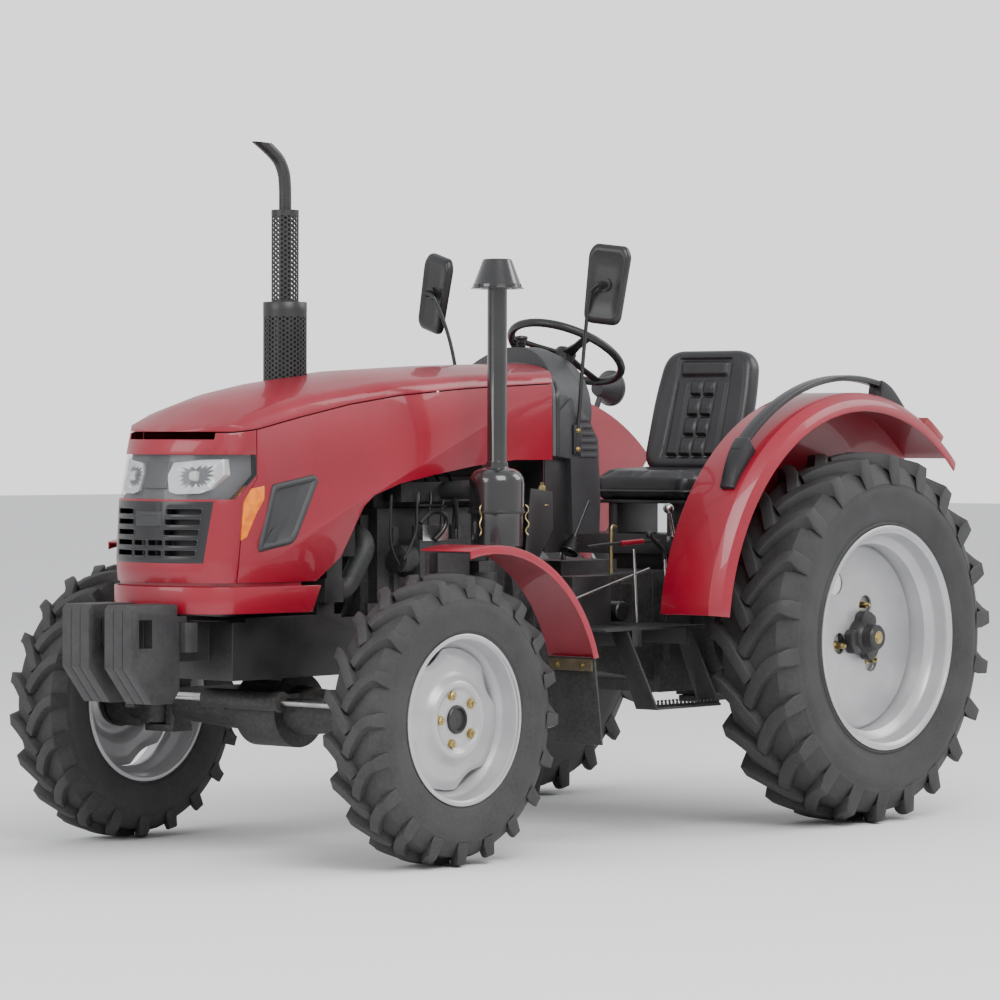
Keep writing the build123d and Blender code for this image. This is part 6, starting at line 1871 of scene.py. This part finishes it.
@dataclass
class FenderTrim:
    """The grab rails with their moulded feet, and the strip and bolts that hold each front flap."""

    crest: float = 832
    axle: float = 630
    rail: float = 728
    strap: tuple[Pair, Pair] = ((46, 104), (40, 60))
    strap_wide: float = 46
    feet: tuple = (("foot", (37.5, 49.5)), ("heel", (112.0, 101.5)))
    foot_wide: float = 56

    def band(self, name: str, ends: Pair, wide: float, side: Side, under: float,
             over: Callable[[float], float]) -> Piece:
        """Makes a band along the fender's crest.

        Args:
            name: the band's name.
            ends: its first and last angle about the rear axle, in degrees.
            wide: its width.
            side: the tractor's side.
            under: height of its underside over the crest.
            over: height of its top, by the share of the way along.

        Returns:
            The band.
        """
        start = side.value * (self.rail - wide / 2)
        low, high = [], []
        for share in (step / 28 for step in range(29)):
            angle = math.radians(ends[0] + (ends[1] - ends[0]) * share)
            for line, reach in ((low, self.crest + under), (high, self.crest + over(share))):
                line.append(at(reach * math.cos(angle), start, self.axle + reach * math.sin(angle)))
        return plate(name, low + high[::-1], side.out * (wide * MM), 0.005)

    def rails(self, side: Side) -> None:
        """Makes one fender's grab rail and its two moulded feet.

        Args:
            side: the tractor's side.
        """
        body = BODY_OF["fender_rails"]
        ends, (under, over) = self.strap
        strap = self.band(f"grab_rail_{side.word}", ends, self.strap_wide, side, under, lambda share: over)
        place(strap, GLOSS_PLASTIC, body, side.stands_for("fender_rails"))
        for word, ends in self.feet:
            foot = self.band(f"rail_{word}_{side.word}", ends, self.foot_wide, side, -2,
                             lambda share: 14 + 49 * math.sin(share * math.pi / 2) ** 1.2)
            place(foot, GLOSS_PLASTIC, body)

    def flap(self, side: Side) -> None:
        """Makes one flap's strip and bolts.

        Args:
            side: the tractor's side.
        """
        node = f"front_flap_{side.word}"
        body, (low, high) = BODY_OF[node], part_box(node)
        x = max(v.co.x for v in frame["nodes"][node].data.vertices if v.co.z > high.z - 0.012)
        strip = box(f"flap_strip_{side.word}", Vector((x - 0.001, low.y + 0.006, high.z - 0.042)),
                    Vector((x + 0.005, high.y - 0.006, high.z - 0.004)), 0.0015)
        place(strip, RUST_YELLOW, body)
        spot = Vector((x + 0.005, low.y + 0.045, high.z - 0.023))
        bolt = hex_bolt(f"flap_bolts_{side.word}", spot, 0.014, 0.007, AHEAD, 0.010)
        place(repeat(bolt, 2, step=(0, high.y - low.y - 0.09, 0)), BRASS, body)

    def build(self) -> None:
        """Makes the rails and the flaps' strips."""
        for work in (self.rails, self.flap):
            for side in Side:
                work(side)


# ------------------------------------------------------------------ studio
@dataclass(frozen=True)
class Studio:
    """Camera, floor, sky and lamps."""

    camera_spot: Point = (10.4502, 8.9442, 1.3012)
    yaw: float = 220.552
    pitch: float = -0.851
    roll: float = 0.115
    lens: float = 147.69
    film: float = 36
    far: float = 100
    sky: float = 0.95
    backdrop: float = 1.6
    floor_half: float = 60
    lamps: tuple = (("key", (3.5, 6.0, 7.0), (0, 0, 0.8), 5.0, 560),
                    ("front", (8.5, -1.5, 4.5), (1.0, 0, 0.8), 4.0, 220),
                    ("back", (-6.0, 4.0, 5.5), (-0.5, 0, 1.0), 4.0, 220))

    def camera(self) -> None:
        """Sets the camera."""
        data = bpy.data.cameras.new("camera")
        data.lens = self.lens
        data.sensor_width = self.film
        data.clip_end = self.far
        camera = link("camera", data)
        yaw, pitch = math.radians(self.yaw), math.radians(self.pitch)
        ahead = Vector((math.cos(pitch) * math.cos(yaw), math.cos(pitch) * math.sin(yaw), math.sin(pitch)))
        right = ahead.cross(UP).normalized()
        turn = Matrix((right, right.cross(ahead), -ahead)).transposed()
        turn = turn @ Matrix.Rotation(math.radians(self.roll), 3, "Z")
        camera.matrix_world = Matrix.Translation(self.camera_spot) @ turn.to_4x4()
        bpy.context.scene.camera = camera

    def floor(self) -> None:
        """Lays the pale floor."""
        h = self.floor_half
        piece = new_object("floor", [(-h, -h, 0), (h, -h, 0), (h, h, 0), (-h, h, 0)], [(0, 1, 2, 3)])
        material, tree, spot = new_material("pale_floor")
        color = tree.blend(tree.noise(spot, 0.6).ramp(0.2, 0.8), (0.92, 0.92, 0.93), (0.94, 0.94, 0.95))
        tree.end("ShaderNodeOutputMaterial",
                 tree.out("ShaderNodeBsdfPrincipled", None, {"Base Color": color, "Roughness": 0.85}))
        piece.data.materials.append(material)

    def light(self) -> None:
        """Lights the scene with a soft sky, brighter to the eye, and three square lamps."""
        world = bpy.data.worlds.new("sky")
        bpy.context.scene.world = world
        world.use_nodes = True
        tree = Tree(world.node_tree)
        spot = tree.out("ShaderNodeTexCoord", output="Generated")
        height = tree.out("ShaderNodeSeparateXYZ", None, {0: spot}, 2).ramp(-0.05, 0.5)
        tone = tree.blend(height, (1.0, 1.0, 1.0), (0.95, 0.96, 0.98))
        power = tree.out("ShaderNodeLightPath") * (self.backdrop - self.sky) + self.sky
        tree.end("ShaderNodeOutputWorld",
                 tree.out("ShaderNodeBackground", None, {"Color": tone, "Strength": power}))
        for name, place_spot, aim, size, energy in self.lamps:
            data = bpy.data.lights.new(name, "AREA")
            data.shape, data.size, data.energy = "SQUARE", size, energy
            turn = (Vector(aim) - Vector(place_spot)).to_track_quat("-Z", "Y").to_matrix().to_4x4()
            link(name, data).matrix_world = Matrix.Translation(place_spot) @ turn


PLAIN_NODES = (
    "engine", "engine_fittings", "radiator", "coolant_hose", "transmission", "lift_housing", "front_frame",
    "front_weights", "front_axle", "drive_shaft", "dash_cowl", "steering_column", "footplates", "rear_fenders",
    "tail_lamps", "work_lamp", "seat_mount", "controls", "link_brackets", "pto_shaft", "pto_guard",
    "rear_axle_housings", "steering_rod", "lower_links", "lift_arms", "lift_rods", "top_link", "hood_top",
    "hood_sides", "nose_panel", "grille", "side_lamps", "skirt", "knuckle_left", "knuckle_right",
    "front_fender_left", "front_fender_right", "front_flap_left", "front_flap_right")


def main() -> None:
    """Builds the tractor's pieces in order, then the studio."""
    logging.basicConfig(level=logging.INFO, format="%(name)s: %(message)s")
    studio = Studio()
    studio.camera()
    for node, piece in frame["nodes"].items():
        piece.data.materials.clear()
        piece.data.materials.append(NODE_FINISH[node].material())
    for node in PLAIN_NODES:
        carried(node)
    for side in Side:
        Tyre("rear", side, 0.384, 0.032, 0.520, 0.048, 22).build()
        Tyre("front", side, 0.265, 0.026, 0.372, 0.037, 20).build()
        FrontRim("front", side, 0.262, 0.246, 0.222, 0.095, 0.006, 0.038).build()
        RearRim("rear", side, 0.381, 0.358, 0.324, 0.150, 0.007, 0.022).build()
    for kind in (Exhaust, AirCleaner, Headlamps, SideVent, Seat, SteeringWheel, Mirrors, Grille, CowlTrim, Linkwork,
                 FenderTrim, EngineTrim):
        kind().build()
    studio.floor()
    studio.light()


if __name__ == "__main__":
    main()
